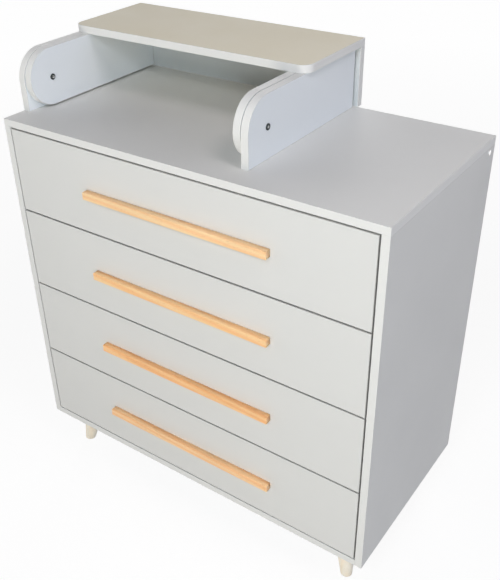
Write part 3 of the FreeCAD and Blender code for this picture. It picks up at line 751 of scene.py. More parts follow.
def pair_along_x(node: str, part: Mesh,
                 ends: tuple[tuple[float, int], tuple[float, int]]) -> Mesh:
    """Set a turned part at the left and the right end of a node.

    Args:
        node: The node whose place the two parts take.
        part: The part, looking along +Z from its seat.
        ends: How far along X each seat lies from the node's left and right end, and which way
            the part looks.

    Returns:
        Both parts as one mesh.
    """
    place, meshes = middle_of(node), []
    for corner, (offset, sign) in zip(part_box(node), ends):
        place.x = corner.x + offset
        mesh = part.copy()
        mesh.transform(facing(place, Axis.X, sign))
        meshes.append(mesh)
    return joined_mesh(meshes)


# ---------------------------------------------------------------- geometry node trees

class NodeShape(Group):
    """A geometry node tree, and what it takes to get a plain mesh from it."""

    def __init__(self, name: str, inputs: dict[str, object]) -> None:
        """Make the tree and its sockets.

        Args:
            name: The tree's name.
            inputs: The inputs between geometry and material, as Group takes them.
        """
        geometry = {"Geometry": "NodeSocketGeometry"}
        super().__init__(name, "GeometryNodeTree",
                         {**geometry, **inputs, "Material": "NodeSocketMaterial"}, geometry)

    def join(self, *geometries: Socket) -> Socket:
        """Put several geometries into one.

        Args:
            geometries: What is joined.

        Returns:
            The joined geometry.
        """
        node = self.graph.add("GeometryNodeJoinGeometry")
        for geometry in geometries:
            self.graph.feed(node, 0, geometry)
        return node.outputs[0]

    def close(self, geometry: Socket) -> None:
        """End the tree in real geometry with its material.

        Args:
            geometry: The geometry that is put out.
        """
        real = self.graph.out("GeometryNodeRealizeInstances", {0: geometry})
        self.send(Geometry=self.graph.out(
            "GeometryNodeSetMaterial", {"Geometry": real, "Material": self.source["Material"]}))

    def mesh(self, place: Matrix, **values: object) -> Mesh:
        """Run the tree and return its result as a plain mesh.

        Args:
            place: Where the result goes.
            values: Input names, with _ for a space, and their values.

        Returns:
            The mesh.
        """
        carrier = new_piece("carrier", bpy.data.meshes.new("seed"))
        modifier = carrier.modifiers.new("shape", "NODES")
        modifier.node_group = self.tree
        for item in self.tree.interface.items_tree:
            key = item.name.replace(" ", "_")
            if item.in_out == "INPUT" and key in values:
                modifier[item.identifier] = values[key]
        made = evaluated_mesh(carrier)
        bpy.data.objects.remove(carrier)
        made.transform(place)
        return made


def make_rounded_slab() -> NodeShape:
    """Build the tree of a flat slab with its own radius at each corner and one round hole.

    Returns:
        The tree. It draws the outline in the XY plane, with corners counted from the one at
        high X and high Y, against the clock, and gives it thickness along +Z.
    """
    corners = [f"Radius {corner}" for corner in (1, 2, 3, 4)]
    shape = NodeShape("rounded_slab", {
        "Length": 0.6, "Width": 0.2, "Thickness": 16 * MM, "Corner Steps": 24,
        **dict.fromkeys(corners, 0.0), "Drilled": False, "Hole Radius": 4 * MM, "Hole X": 0.0,
        "Hole Y": 0.0})
    graph, source = shape.graph, shape.source
    outline = graph.out("GeometryNodeCurvePrimitiveQuadrilateral",
                        {"Width": source["Length"], "Height": source["Width"]})
    choice = graph.add("GeometryNodeIndexSwitch", data_type="FLOAT")
    while len(choice.index_switch_items) < len(corners):
        choice.index_switch_items.new()
    graph.feed(choice, 0, graph.out("GeometryNodeInputIndex", {}))
    for place, corner in enumerate(corners, 1):
        graph.feed(choice, place, source[corner])
    rounded = graph.out("GeometryNodeFilletCurve",
                        {"Curve": outline, "Count": source["Corner Steps"],
                         "Radius": choice.outputs[0], "Limit Radius": True}, mode="POLY")
    circle = graph.out("GeometryNodeCurvePrimitiveCircle",
                       {"Resolution": 32, "Radius": source["Hole Radius"]})
    spot = graph.out("ShaderNodeCombineXYZ", {"X": source["Hole X"], "Y": source["Hole Y"]})
    hole = graph.out("GeometryNodeTransform", {"Geometry": circle, "Translation": spot})
    drilled = graph.out("GeometryNodeSwitch", {"Switch": source["Drilled"], "True": hole},
                        input_type="GEOMETRY")
    sheet = graph.out("GeometryNodeFillCurve", {0: shape.join(rounded, drilled)}, mode="NGONS")
    thick = graph.out("GeometryNodeExtrudeMesh", {"Mesh": sheet, "Individual": False,
                                                  "Offset Scale": source["Thickness"]})
    both = shape.join(thick, graph.out("GeometryNodeFlipFaces", {0: sheet}))
    shape.close(graph.out("GeometryNodeMergeByDistance", {"Geometry": both, "Distance": TOUCH}))
    return shape


def make_head_rows() -> NodeShape:
    """Build the tree that sets a grid of fastener heads, each turned by chance.

    Returns:
        The tree. The grid lies in the local XY plane and the heads look along +Z.
    """
    shape = NodeShape("head_rows", {"Head": "NodeSocketObject", "Count X": 2, "Count Y": 2,
                                    "Reach X": 50 * MM, "Reach Y": 50 * MM, "Seed": 1})
    graph, source = shape.graph, shape.source
    grid = graph.out("GeometryNodeMeshGrid",
                     {"Size X": source["Reach X"], "Size Y": source["Reach Y"],
                      "Vertices X": source["Count X"], "Vertices Y": source["Count Y"]})
    head = graph.add("GeometryNodeObjectInfo", {"Object": source["Head"]})
    least, greatest, result = 2, 3, 1  # a random float's own sockets
    turn = graph.add("FunctionNodeRandomValue",
                     {least: 0.0, greatest: math.pi, "Seed": source["Seed"]}, data_type="FLOAT")
    spin = graph.out("ShaderNodeCombineXYZ", {"Z": turn.outputs[result]})
    shape.close(graph.out("GeometryNodeInstanceOnPoints",
                          {"Points": grid, "Instance": head.outputs["Geometry"],
                           "Rotation": spin}))
    return shape


ROUNDED_SLAB = make_rounded_slab()
HEAD_ROWS = make_head_rows()


# ---------------------------------------------------------------- boards

@dataclass(frozen=True)
class BoardStyle:
    """How a board is finished, with a finish for each of its layers."""

    face: Finish
    band: Finish = BAND
    seam: Finish = GLUE_LINE
    core: Finish = CORE
    arris: float = 0.5 * MM
    band_thick: float = 0.5 * MM
    seam_width: float = 0.25 * MM
    edge_angle: float = math.pi / 6
    flatness: float = 0.9999

    def finishes(self) -> list[Finish]:
        """The finishes in the order of the layers."""
        return [self.face, self.band, self.seam, self.core]

    def work(self, shape: Shape, thin: Axis) -> None:
        """Round a board's arrises and split its faces into foil, band, seam and core.

        Faces that are already core were cut into the board and stay sharp.

        Args:
            shape: The board.
            thin: The direction of its thickness.
        """
        sharp = [edge for edge in shape.edges
                 if len(edge.link_faces) == 2 and edge.calc_face_angle() > self.edge_angle
                 and all(face.material_index != Layer.CORE for face in edge.link_faces)]
        bmesh.ops.bevel(shape, geom=sharp, offset=self.arris, segments=2, profile=0.5,
                        affect="EDGES", clamp_overlap=True)
        shape.normal_update()
        broad = []
        for face in shape.faces:
            if face.material_index == Layer.CORE:
                continue
            flat = abs(face.normal[thin.value]) > self.flatness
            face.material_index = Layer.FACE if flat else Layer.BAND
            if flat:
                broad.append(face)
        for width, layer in ((self.band_thick, Layer.BAND), (self.seam_width, Layer.SEAM)):
            ring = bmesh.ops.inset_region(shape, faces=broad, thickness=width,
                                          use_boundary=True, use_even_offset=True)
            for face in ring["faces"]:
                face.material_index = layer


MELAMINE = BoardStyle(FOIL)
# Swing board, with painted warm light in its foil.
SWING_WARM_LIT_MELAMINE = BoardStyle(SWING_WARM_LIT_FOIL)
# Cheeks, with painted cool light in their foil.
CHEEK_LIT_MELAMINE = BoardStyle(CHEEK_LIT_FOIL)
# Swing rail, with painted shade in its foil.
RAIL_SHADED_MELAMINE = BoardStyle(RAIL_SHADED_FOIL)
# Drawer fronts, with painted gap shade on their edges and rim.
FRONT_GAP_SHADED_MELAMINE = BoardStyle(FOIL, FRONT_GAP_SHADE_BAND, FRONT_GAP_SHADOW_LINE, band_thick=0.1 * MM)
BOX_BOARD = BoardStyle(BOX_FOIL, BOX_BAND, arris=0.4 * MM)
HARDBOARD = BoardStyle(SHEET_FOIL, SHEET_EDGE, SHEET_EDGE, SHEET_EDGE, arris=0.15 * MM,
                       band_thick=0.1 * MM, seam_width=0.1 * MM)


@dataclass(frozen=True)
class Board:
    """A straight board: its node's shape, with every groove and hole, and worked arrises."""

    node: str
    body: str
    thin: Axis
    style: BoardStyle

    def build(self) -> None:
        """Work the board and put it in its node's place."""
        shape = self.shape()
        self.style.work(shape, self.thin)
        mount(f"{self.node}_board", mesh_of(shape), self.body, self.style.finishes(), self.node)

    def shape(self) -> Shape:
        """Take the node's own shape and mark what is cut into its box as core.

        Returns:
            The board, with sharp arrises.
        """
        shape = bmesh.new()
        shape.from_mesh(frame["nodes"][self.node].data)
        bmesh.ops.remove_doubles(shape, verts=shape.verts, dist=WELD)
        bmesh.ops.dissolve_limit(shape, angle_limit=PLANE_ANGLE, verts=shape.verts,
                                 edges=shape.edges)
        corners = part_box(self.node)
        for face in shape.faces:
            outside = any(all(abs(vert.co[axis] - corner[axis]) < TOUCH for vert in face.verts)
                          for corner in corners for axis in range(3))
            face.material_index = Layer.FACE if outside else Layer.CORE
        return shape


@dataclass(frozen=True)
class ShapedBoard(Board):
    """A board with rounded corners, and a hole for the pivot where it has one."""

    radii: tuple[float, float, float, float]
    hole: tuple[float, float, float] | None = None
    hole_slack: float = 1.1

    def shape(self) -> Shape:
        """Draw the board in its node's box.

        Returns:
            The board, with sharp arrises.
        """
        low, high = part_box(self.node)
        size, middle = high - low, (low + high) / 2
        if self.thin is Axis.X:
            place = Matrix(((0, 0, 1, low.x), (1, 0, 0, middle.y),
                            (0, 1, 0, middle.z), (0, 0, 0, 1)))
            length, width, thickness = size.y, size.z, size.x
        else:
            place = Matrix.Translation((middle.x, middle.y, low.z))
            length, width, thickness = size
        values = {f"Radius_{corner}": radius for corner, radius in enumerate(self.radii, 1)}
        if self.hole:
            across, up, radius = self.hole
            values |= {"Drilled": True, "Hole_Radius": radius, "Hole_X": across - middle.y,
                       "Hole_Y": up - middle.z}
        slab = ROUNDED_SLAB.mesh(place, Length=length, Width=width, Thickness=thickness,
                                 Corner_Steps=32, Material=self.style.face.material(), **values)
        shape = bmesh.new()
        shape.from_mesh(slab)
        for face in shape.faces:
            face.material_index = Layer.CORE if self.is_bore(face) else Layer.FACE
        return shape

    def is_bore(self, face: bmesh.types.BMFace) -> bool:
        """Whether a face is part of the pivot hole's wall.

        Args:
            face: The face.

        Returns:
            True for a face of the hole's wall.
        """
        if not self.hole or abs(face.normal[self.thin.value]) > self.style.flatness:
            return False
        across, up, radius = self.hole
        point = face.calc_center_median()
        return math.hypot(point.y - across, point.z - up) < self.hole_slack * radius


# ---------------------------------------------------------------- fastener heads

@dataclass(frozen=True)
class ScrewHead:
    """A low pan head with a cross recess.

    Each point of the pan's rounding is how far in and how far down it lies, in edge heights.
    """

    radius: float = 3.4 * MM
    height: float = 1.5 * MM
    edge_share: float = 0.25
    pan: tuple[tuple[float, float], ...] = ((0.0, 2.0), (0.6, 1.0), (2.0, 0.3))
    recess_reach: float = 1.9 * MM
    recess_half_width: float = 0.45 * MM
    recess_depth: float = 1.1 * MM
    recess_depth_share: float = 0.85
    recess_rim: float = 1.15
    recess_taper: tuple[float, float] = (0.8, 0.7)
    points: int = 24

    def mesh(self) -> Mesh:
        """Make the head.

        Returns:
            The mesh, looking along +Z from its seat.
        """
        reach, half_width, height = self.recess_reach, self.recess_half_width, self.height
        corner, quarter = math.atan2(half_width, reach), math.pi / 2
        angles = sorted(evenly(self.points) + [side * quarter + turn for side in range(4)
                                               for turn in (corner, quarter - corner)])
        edge = self.edge_share * height
        floor = height - min(self.recess_depth, self.recess_depth_share * height)
        profile = [(self.radius, 0.0),
                   *((self.radius - inset * edge, height - drop * edge)
                     for inset, drop in self.pan),
                   (self.recess_rim * reach, height)]
        taper_reach, taper_width = self.recess_taper
        rings = [round_ring(*spot, angles) for spot in profile]
        rings += [cross_ring(reach, half_width, height, angles),
                  cross_ring(taper_reach * reach, taper_width * half_width, floor, angles)]
        return lofted_mesh(rings)


@dataclass(frozen=True)
class HeadGrid:
    """Rows of equal screw heads on one flat face."""

    place: Vector
    axis: Axis
    sign: int
    counts: tuple[int, int]
    reaches: tuple[float, float]
    seed: int
    head: ScrewHead = ScrewHead()

    def mesh(self) -> Mesh:
        """Set the heads.

        Returns:
            All heads as one mesh.
        """
        pattern = new_piece("pattern", self.head.mesh())
        (count_x, count_y), (reach_x, reach_y) = self.counts, self.reaches
        made = HEAD_ROWS.mesh(facing(self.place, self.axis, self.sign), Head=pattern,
                              Count_X=count_x, Count_Y=count_y, Reach_X=reach_x,
                              Reach_Y=reach_y, Seed=self.seed, Material=ZINC.material())
        bpy.data.objects.remove(pattern)
        return made


def mount_heads(name: str, body: str, grids: list[HeadGrid]) -> None:
    """Make one piece of the rows of screw heads that a body carries."""
    mount(name, joined_mesh([grid.mesh() for grid in grids]), body, [ZINC])


# ---------------------------------------------------------------- sub-assemblies

@dataclass(frozen=True)
class Carcass:
    """The chest: deck, sides, bottom board, rear rail and hardboard back."""

    body: str = "carcass"
    boards: tuple[tuple[str, Axis], ...] = (
        ("top_panel", Axis.Z), ("side_panel_left", Axis.X), ("side_panel_right", Axis.X),
        ("bottom_panel", Axis.Z), ("rear_rail", Axis.Y))

    def build(self) -> None:
        """Make every board."""
        for node, thin in self.boards:
            Board(node, self.body, thin, MELAMINE).build()
        Board("back_board", self.body, Axis.Y, HARDBOARD).build()


@dataclass(frozen=True)
class Legs:
    """Four turned legs that lean out to their corners, on screwed steel plates."""

    body: str = "carcass"
    top_radius: float = 25 * MM
    foot_radius: float = 13 * MM
    foot_round: float = 2 * MM
    height: float = 105 * MM
    plate_thick: float = 2.5 * MM
    lean: float = 0.15
    inset_side: float = 57 * MM
    inset_front: float = 51 * MM
    screw_spacing: float = 51 * MM
    segments: int = 64
    round_steps: int = 5
    shank_steps: int = 8
    first_seed: int = 3

    def build(self) -> None:
        """Make the legs, their plates and the plates' screws."""
        grids = []
        low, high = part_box("top_panel")
        top = self.height - self.plate_thick
        for end_name, end in (("front", -1), ("rear", 1)):
            for side_name, side in (("left", -1), ("right", 1)):
                x = low.x + self.inset_side if side < 0 else high.x - self.inset_side
                y = low.y + self.inset_front if end < 0 else high.y - self.inset_front
                inwards = Vector((-side * self.lean, -end * self.lean, 1.0))
                node = f"leg_{end_name}_{side_name}"
                foot = Vector((x, y, 0.0))
                mount(f"{node}_turning", self.leg(foot, inwards), self.body, [LEG_WOOD], node)
                grids.append(HeadGrid(foot + top * inwards, Axis.Z, -1, (2, 2),
                                      (self.screw_spacing,) * 2,
                                      seed=self.first_seed + len(grids)))
        mount_heads("leg_plate_screws", self.body, grids)
        keep_node("leg_plates", ZINC)

    def leg(self, foot: Vector, inwards: Vector) -> Mesh:
        """Loft one leg from level rings round its leaning axis.

        Args:
            foot: The middle of the foot on the floor.
            inwards: Which way the leg rises.

        Returns:
            The mesh.
        """
        top = self.height - self.plate_thick
        rings = []
        for step in range(self.round_steps + 1):
            turn = step / self.round_steps * math.pi / 2
            rings.append(self.section(foot, inwards, self.foot_round * (1 - math.cos(turn)),
                                      self.foot_round * (1 - math.sin(turn))))
        for step in range(1, self.shank_steps + 1):
            level = self.foot_round + (top - self.foot_round) * step / self.shank_steps
            rings.append(self.section(foot, inwards, level, 0.0))
        return lofted_mesh(rings)

    def section(self, foot: Vector, inwards: Vector, level: float, inset: float) -> Ring:
        """Find the level section of a leg at one height.

        Args:
            foot: The middle of the foot on the floor.
            inwards: Which way the leg rises.
            level: The height of the section.
            inset: How far the section is drawn in.

        Returns:
            The section's points.
        """
        along = inwards.normalized()
        across = along.orthogonal().normalized()
        other = along.cross(across)
        growth = (self.top_radius - self.foot_radius) / self.height
        points = []
        for turn in evenly(self.segments):
            out = across * math.cos(turn) + other * math.sin(turn)
            reach = (level - self.foot_radius * out.z) / (along.z + growth * out.z)
            points.append(foot + along * reach + out * (self.foot_radius + growth * reach))
        middle = sum(points, Vector()) / len(points)
        return [point + (middle - point).normalized() * inset for point in points]


@dataclass(frozen=True)
class Drawer:
    """One drawer: front, box and wooden bar handle."""

    number: int
    handle_round: float = 1.2 * MM
    handle_screw_spacing: float = 320 * MM
    back_screw_spacing: float = 45 * MM
    back_screw_rise: float = 92.5 * MM
    back_screw_inset: float = 6 * MM
    handle_seed: int = 20
    back_seed: int = 30

    def build(self) -> None:
        """Make the boards, the handle and the screws."""
        name = f"drawer_{self.number}"
        for part, thin, style in (
                ("side_left", Axis.X, BOX_BOARD), ("side_right", Axis.X, BOX_BOARD),
                ("back", Axis.Y, BOX_BOARD), ("front", Axis.Y, FRONT_GAP_SHADED_MELAMINE),
                ("bottom", Axis.Z, HARDBOARD)):
            Board(f"{name}_{part}", name, thin, style).build()
        handle = f"{name}_handle"
        mount(f"{handle}_bar", self.handle(handle), name, [HANDLE_WOODS[self.number]], handle)
        mount_heads(f"{name}_screws", name, self.screws(name))

    def handle(self, node: str) -> Mesh:
        """Make the bar with every arris eased except those against the front.

        Args:
            node: The handle's node.

        Returns:
            The mesh.
        """
        low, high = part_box(node)
        shape = bmesh.new()
        size = Matrix.Diagonal((*(high - low), 1.0))
        bmesh.ops.create_cube(shape, size=1.0, matrix=Matrix.Translation((low + high) / 2) @ size)
        free = [edge for edge in shape.edges
                if any(vert.co.y < high.y - TOUCH for vert in edge.verts)]
        bmesh.ops.bevel(shape, geom=free, offset=self.handle_round, segments=4, profile=0.5,
                        affect="EDGES", clamp_overlap=True)
        return mesh_of(shape)

    def screws(self, name: str) -> list[HeadGrid]:
        """The screws of the handle and of the box's back.

        Args:
            name: The drawer's name.

        Returns:
            Their rows.
        """
        front_low, front_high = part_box(f"{name}_front")
        grip = middle_of(f"{name}_handle")
        grids = [HeadGrid(Vector((grip.x, front_high.y, grip.z)), Axis.Y, 1, (2, 1),
                          (self.handle_screw_spacing, 0.0), seed=self.handle_seed + self.number)]
        for side_name, sign in (("left", -1), ("right", 1)):
            low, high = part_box(f"{name}_side_{side_name}")
            place = Vector((low.x if sign < 0 else high.x, high.y - self.back_screw_inset,
                            front_low.z + self.back_screw_rise))
            grids.append(HeadGrid(place, Axis.X, sign, (1, 2), (0.0, self.back_screw_spacing),
                                  seed=self.back_seed + 2 * self.number + sign))
        return grids


@dataclass(frozen=True)
class Runners:
    """The roller runners of every drawer, on the drawers and on the carcass."""

    roller_width: float = 7.5 * MM
    roller_radius: float = 8.8 * MM
    bore_radius: float = 2.58 * MM
    hub_radius: float = 4.4 * MM
    rim_radius: float = 7.6 * MM
    dish_depth: float = 0.9 * MM
    dish_slope: float = 0.4 * MM
    edge_round: float = 0.6 * MM
    steel: float = 1.2 * MM
    screw_rise: float = 10.4 * MM
    screw_pitch: float = 130 * MM
    screw_start: float = 170 * MM
    screw_count: int = 3
    wall_seed: int = 50
    drawer_seed: int = 90
    seed_step: int = 4
    flat_head: ScrewHead = ScrewHead(radius=3.2 * MM, height=0.8 * MM)

    def build(self) -> None:
        """Dress the members, and make the rollers and the screws."""
        wall_grids = []
        for number in DRAWER_NUMBERS:
            drawer = f"drawer_{number}"
            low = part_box(f"{drawer}_runners")[0]
            y, z = low.y + self.screw_start, low.z + self.screw_rise
            row = (self.screw_count, 1), ((self.screw_count - 1) * self.screw_pitch, 0.0)
            drawer_grids = []
            for side, near, inwards in (("left", 0, 1), ("right", 1, -1)):
                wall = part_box(f"side_panel_{side}")[1 - near].x + inwards * self.steel
                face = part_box(f"{drawer}_side_{side}")[near].x - inwards * self.steel
                own = self.seed_step * number + inwards
                wall_grids.append(HeadGrid(Vector((wall, y, z)), Axis.X, inwards, *row,
                                           self.wall_seed + own, self.flat_head))
                drawer_grids.append(HeadGrid(Vector((face, y, z)), Axis.X, -inwards, *row,
                                             self.drawer_seed + own))
            mount_heads(f"{drawer}_runner_screws", drawer, drawer_grids)
            keep_node(f"{drawer}_runners", RUNNER_COAT)
            for node in (f"front_rollers_{number}", f"rear_rollers_{number}"):
                pair = pair_along_x(node, self.roller(), ((0.0, 1), (-self.roller_width, 1)))
                mount(f"{node}_nylon", pair, node, [NYLON], node)
        mount_heads("carcass_runner_screws", "carcass", wall_grids)
        for side in ("left", "right"):
            keep_node(f"carcass_runners_{side}", RUNNER_COAT)

    def roller(self) -> Mesh:
        """Make one roller, dished on both faces.

        Returns:
            The mesh, looking along +Z from its lower face.
        """
        radius, ease = self.roller_radius, self.edge_round
        corner = ease * ROUND_MIDDLE
        half = [(self.bore_radius, 0.0), (self.hub_radius, 0.0),
                (self.hub_radius + self.dish_slope, self.dish_depth),
                (self.rim_radius - self.dish_slope, self.dish_depth), (self.rim_radius, 0.0),
                (radius - ease, 0.0), (radius - corner, corner), (radius, ease)]
        profile = half + [(reach, self.roller_width - height) for reach, height in reversed(half)]
        angles = evenly(ROUND_POINTS)
        return lofted_mesh([round_ring(*spot, angles) for spot in profile], closed=True)


@dataclass(frozen=True)
class ChangingTop:
    """Two fixed cheeks on the deck, and the frame that swings between them."""

    fixed_body: str = "carcass"
    swing_body: str = "swing_frame"
    board_corner: float = 25 * MM
    hole_radius: float = 4.58 * MM
    head_radius: float = 6.5 * MM
    head_thick: float = 1.6 * MM
    head_round: float = 0.4 * MM
    socket_rim: float = 0.4 * MM
    socket_taper: float = 0.96
    socket_depth: float = 1.4 * MM
    bolt_radius: float = 3 * MM
    bolt_length: float = 31 * MM
    bolt_socket: float = 2.9 * MM
    sleeve_radius: float = 4.5 * MM
    sleeve_bore: float = 3.08 * MM
    sleeve_length: float = 33.92 * MM
    sleeve_socket: float = 3.8 * MM

    def build(self) -> None:
        """Make the cheeks, the board, the rail and the pivots."""
        pivot = middle_of("pivot_bolts")
        hole = (pivot.y, pivot.z, self.hole_radius)
        for side in ("left", "right"):
            fixed, swing = f"topper_cheek_{side}", f"swing_cheek_{side}"
            top_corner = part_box(fixed)[1].z - pivot.z
            ShapedBoard(fixed, self.fixed_body, Axis.X, CHEEK_LIT_MELAMINE, (0, top_corner, 0, 0),
                        hole).build()
            swing_low, swing_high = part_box(swing)
            nose = (swing_high.z - swing_low.z) / 2
            ShapedBoard(swing, self.swing_body, Axis.X, CHEEK_LIT_MELAMINE, (0, nose, nose, 0),
                        hole).build()
        ShapedBoard("swing_board", self.swing_body, Axis.Z, SWING_WARM_LIT_MELAMINE,
                    (0, 0, self.board_corner, self.board_corner)).build()
        Board("swing_rail", self.swing_body, Axis.Y, RAIL_SHADED_MELAMINE).build()
        keep_node("pivot_washers", NYLON)
        bolt_shank = ((self.bolt_radius, -self.bolt_length), (self.bolt_radius, 0.0))
        sleeve_shank = ((self.sleeve_bore, -self.sleeve_length),
                        (self.sleeve_radius, -self.sleeve_length), (self.sleeve_radius, 0.0))
        self.pivots("pivot_bolts", self.fitting(bolt_shank, self.bolt_socket, bored=False),
                    self.head_thick, -1)
        self.pivots("pivot_sleeves", self.fitting(sleeve_shank, self.sleeve_socket, bored=True),
                    self.sleeve_length, 1)

    def pivots(self, node: str, part: Mesh, seat: float, sign: int) -> None:
        """Put a pair of pivot fittings in its node's place.

        Args:
            node: The pair's node.
            part: One fitting, looking along +Z from its seat.
            seat: How far the seat lies from the fitting's outer end.
            sign: Which way the left fitting's head looks along X.
        """
        pair = pair_along_x(node, part, ((seat, sign), (-seat, -sign)))
        body = self.swing_body if node in SWING_NODES else self.fixed_body
        mount(f"{node}_turned", pair, body, [ZINC, HEAD_STEEL], node)

    def fitting(self, shank: tuple[tuple[float, float], ...], socket: float,
                bored: bool) -> Mesh:
        """Make a shank with a flat head and a hexagon socket.

        Args:
            shank: The shank's profile, from its far end to the head's seat.
            socket: The socket's radius at its corners.
            bored: Whether it is bored through, as wide as the profile's first point.

        Returns:
            The mesh, looking along +Z from its seat.
        """
        radius, thick, ease = self.head_radius, self.head_thick, self.head_round
        corner, bottom = ease * ROUND_MIDDLE, thick - self.socket_depth
        head = ((radius, 0.0), (radius, thick - ease), (radius - corner, thick - corner),
                (radius - ease, thick), (socket + self.socket_rim, thick))
        angles = evenly(ROUND_POINTS)
        rings = [round_ring(*spot, angles) for spot in shank + head]
        rings += [hexagon_ring(socket, thick, angles),
                  hexagon_ring(self.socket_taper * socket, bottom, angles)]
        if bored:
            rings.append(round_ring(shank[0][0], bottom, angles))
        skin = range(len(shank), len(shank) + len(head))
        return lofted_mesh(rings, closed=bored, index_of=lambda row: int(row in skin))


@dataclass(frozen=True)
class Fasteners:
    """The connector screws inside the boards, and the caps on the sides of the chest."""

    body: str = "carcass"
    radius: float = 5.5 * MM
    thick: float = 1.2 * MM
    dome: tuple[tuple[float, float], ...] = ((1.0, 0.0), (1.0, 0.35), (0.94, 0.7), (0.8, 0.88),
                                             (0.5, 0.97), (0.15, 1.0))

    def build(self) -> None:
        """Dress the screws and mount the caps."""
        keep_node("connector_screws", ZINC)
        pair = pair_along_x("screw_caps", self.cap(), ((self.thick, -1), (-self.thick, 1)))
        mount("screw_caps_domed", pair, self.body, [CAP, CAP_PAINTED_SHADOW], "screw_caps")

    def cap(self) -> Mesh:
        """Make a domed cap with a painted shadow line at its seat.

        Returns:
            The mesh, looking along +Z from its seat.
        """
        angles = evenly(ROUND_POINTS)
        rings = [round_ring(reach * self.radius, height * self.thick, angles)
                 for reach, height in self.dome]
        return lofted_mesh(rings, index_of=lambda row: int(row == 0))


# ---------------------------------------------------------------- studio

@dataclass(frozen=True)
class Lamp:
    """A far, soft lamp."""

    name: str
    towards: tuple[float, float, float]
    level: float
    spread: float
    colour: tuple[float, float, float] = (1.0, 1.0, 1.0)
    in_gloss: bool = True

    def build(self) -> None:
        """Put the lamp into the scene."""
        light = bpy.data.lights.new(self.name, "SUN")
        light.energy = self.level * math.pi
        light.angle = math.radians(self.spread)
        light.color = self.colour
        lamp = new_piece(self.name, light)
        lamp.rotation_euler = Vector(self.towards).to_track_quat("-Z", "Y").to_euler()
        lamp.visible_glossy = self.in_gloss


@dataclass(frozen=True)
class Bulb:
    """A soft lamp that stands near the object, so that its light falls off across it."""

    name: str
    place: tuple[float, float, float]
    power: float
    radius: float
    colour: tuple[float, float, float]

    def build(self) -> None:
        """Put the lamp into the scene."""
        light = bpy.data.lights.new(self.name, "POINT")
        light.energy = self.power
        light.shadow_soft_size = self.radius
        light.color = self.colour
        new_piece(self.name, light).location = self.place


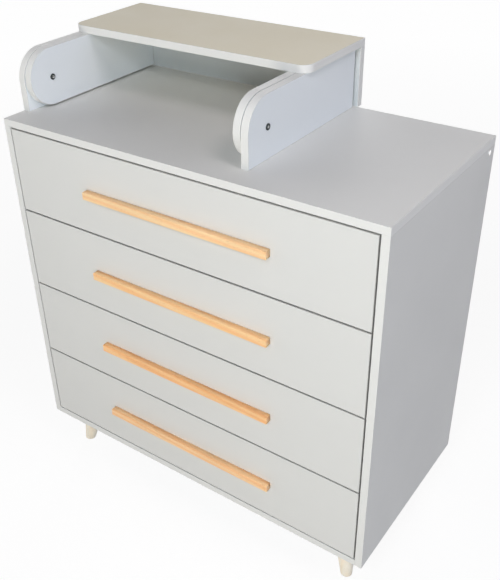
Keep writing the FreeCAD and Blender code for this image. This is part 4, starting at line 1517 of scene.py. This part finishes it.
@dataclass(frozen=True)
class Studio:
    """A pale floor, plain soft light and the camera."""

    camera_place: tuple[float, float, float] = (0.91352, -1.26429, 1.50986)
    camera_turn: tuple[float, float, float] = (57.7457, 1.4565, 35.6623)
    lens: float = 50.34
    sensor: float = 36.0
    shift: tuple[float, float] = (0.0298, -0.0065)
    floor_reach: float = 30.0
    floor_paint: float = 0.56
    floor_seen_paint: float = 0.14
    floor_near: tuple[float, float] = (1.0, 0.886)
    floor_far: tuple[float, float] = (4.0, 0.95)
    white: Colour = (1.0, 1.0, 1.0, 1.0)
    ambient: Colour = (0.015, 0.015, 0.016, 1.0)
    lamps: tuple[Lamp | Bulb, ...] = (
        Bulb("high_lamp", (0.75, -2.8, 3.0), 181.0, 0.5, (0.90, 0.94, 1.0)),
        Bulb("side_lamp", (2.25, -3.0, 1.7), 97.0, 0.45, (0.82, 0.93, 1.0)),
        Bulb("low_lamp", (0.6, -3.2, 0.5), 98.0, 0.4, (1.0, 0.93, 0.80)),
        Bulb("top_lamp", (1.6, -0.6, 3.2), 66.0, 0.5, (1.0, 0.91, 0.93)),
        Lamp("right_lamp", (-0.966, 0.0, -0.259), 0.20, 60.0, (0.82, 0.84, 1.0)),
        Lamp("left_lamp", (0.98, 0.1, -0.14), 0.42, 50.0, (1.0, 0.97, 0.93), in_gloss=False),
        Lamp("rear_lamp", (0.30, -1.0, -0.07), 0.80, 50.0, in_gloss=False))

    def build(self) -> None:
        """Set up the stage."""
        bpy.context.scene.view_settings.view_transform = "Standard"
        self.make_world()
        self.make_floor()
        for lamp in self.lamps:
            lamp.build()
        self.make_camera()

    def make_camera(self) -> None:
        """Stand the camera where the photograph was taken from."""
        data = bpy.data.cameras.new("camera")
        data.lens = self.lens
        data.sensor_width = self.sensor
        data.shift_x, data.shift_y = self.shift
        camera = new_piece("camera", data)
        camera.location = self.camera_place
        camera.rotation_euler = Euler([math.radians(turn) for turn in self.camera_turn])
        bpy.context.scene.camera = camera

    def emptied(self, owner: bpy.types.Material | bpy.types.World) -> Graph:
        """Clear the nodes of a material or a world.

        Args:
            owner: The material or the world.

        Returns:
            Its graph, with no node.
        """
        owner.use_nodes = True
        owner.node_tree.nodes.clear()
        return Graph(owner.node_tree)

    def seen_directly(self, graph: Graph) -> Socket:
        """Make a value of one for rays from the camera and for those in gloss and glass.

        Args:
            graph: The graph that needs the value.

        Returns:
            The value.
        """
        path = graph.add("ShaderNodeLightPath").outputs
        shown = graph.math("MAXIMUM", path["Is Camera Ray"], path["Is Glossy Ray"])
        return graph.math("MAXIMUM", shown, path["Is Transmission Ray"])

    def make_world(self) -> None:
        """Fill the room with even light behind a white backdrop."""
        world = bpy.data.worlds.new("studio_world")
        graph = self.emptied(world)
        room, white = (graph.out("ShaderNodeBackground", {"Color": colour, "Strength": 1.0})
                       for colour in (self.ambient, self.white))
        blend = graph.out("ShaderNodeMixShader", {0: self.seen_directly(graph), 1: room, 2: white})
        graph.add("ShaderNodeOutputWorld", {"Surface": blend})
        bpy.context.scene.world = world

    def make_floor(self) -> None:
        """Lay a pale floor that keeps the object's shadow and glows white where it is seen."""
        shape = bmesh.new()
        bmesh.ops.create_grid(shape, x_segments=8, y_segments=8, size=self.floor_reach)
        floor = new_piece("floor", mesh_of(shape))
        material = bpy.data.materials.new("floor_paint")
        graph = self.emptied(material)
        seen = self.seen_directly(graph)
        paint = graph.grey(graph.span(seen, self.floor_paint, self.floor_seen_paint))
        matt = graph.out("ShaderNodeBsdfDiffuse", {"Color": paint})
        place = graph.add("ShaderNodeTexCoord").outputs["Object"]
        reach = graph.add("ShaderNodeVectorMath", {0: place}, operation="LENGTH").outputs[1]
        (start, near), (end, far) = self.floor_near, self.floor_far
        strength = graph.math("MULTIPLY", seen, graph.span(reach, near, far, start, end))
        glow = graph.out("ShaderNodeEmission", {"Color": self.white, "Strength": strength})
        both = graph.out("ShaderNodeAddShader", {0: matt, 1: glow})
        graph.add("ShaderNodeOutputMaterial", {"Surface": both})
        floor.data.materials.append(material)


def corners(box: tuple[Vector, Vector]) -> list[list[float]]:
    """A box as plain lists of numbers."""
    return [[round(value, 6) for value in corner] for corner in box]


def main() -> None:
    """Build the stage and every sub-assembly."""
    Studio().build()
    parts = [Carcass(), Legs(), *(Drawer(number) for number in DRAWER_NUMBERS), Runners(),
             ChangingTop(), Fasteners()]
    for part in parts:
        part.build()
        log.info("%s is in place", type(part).__name__)


if __name__ == "__main__":
    main()
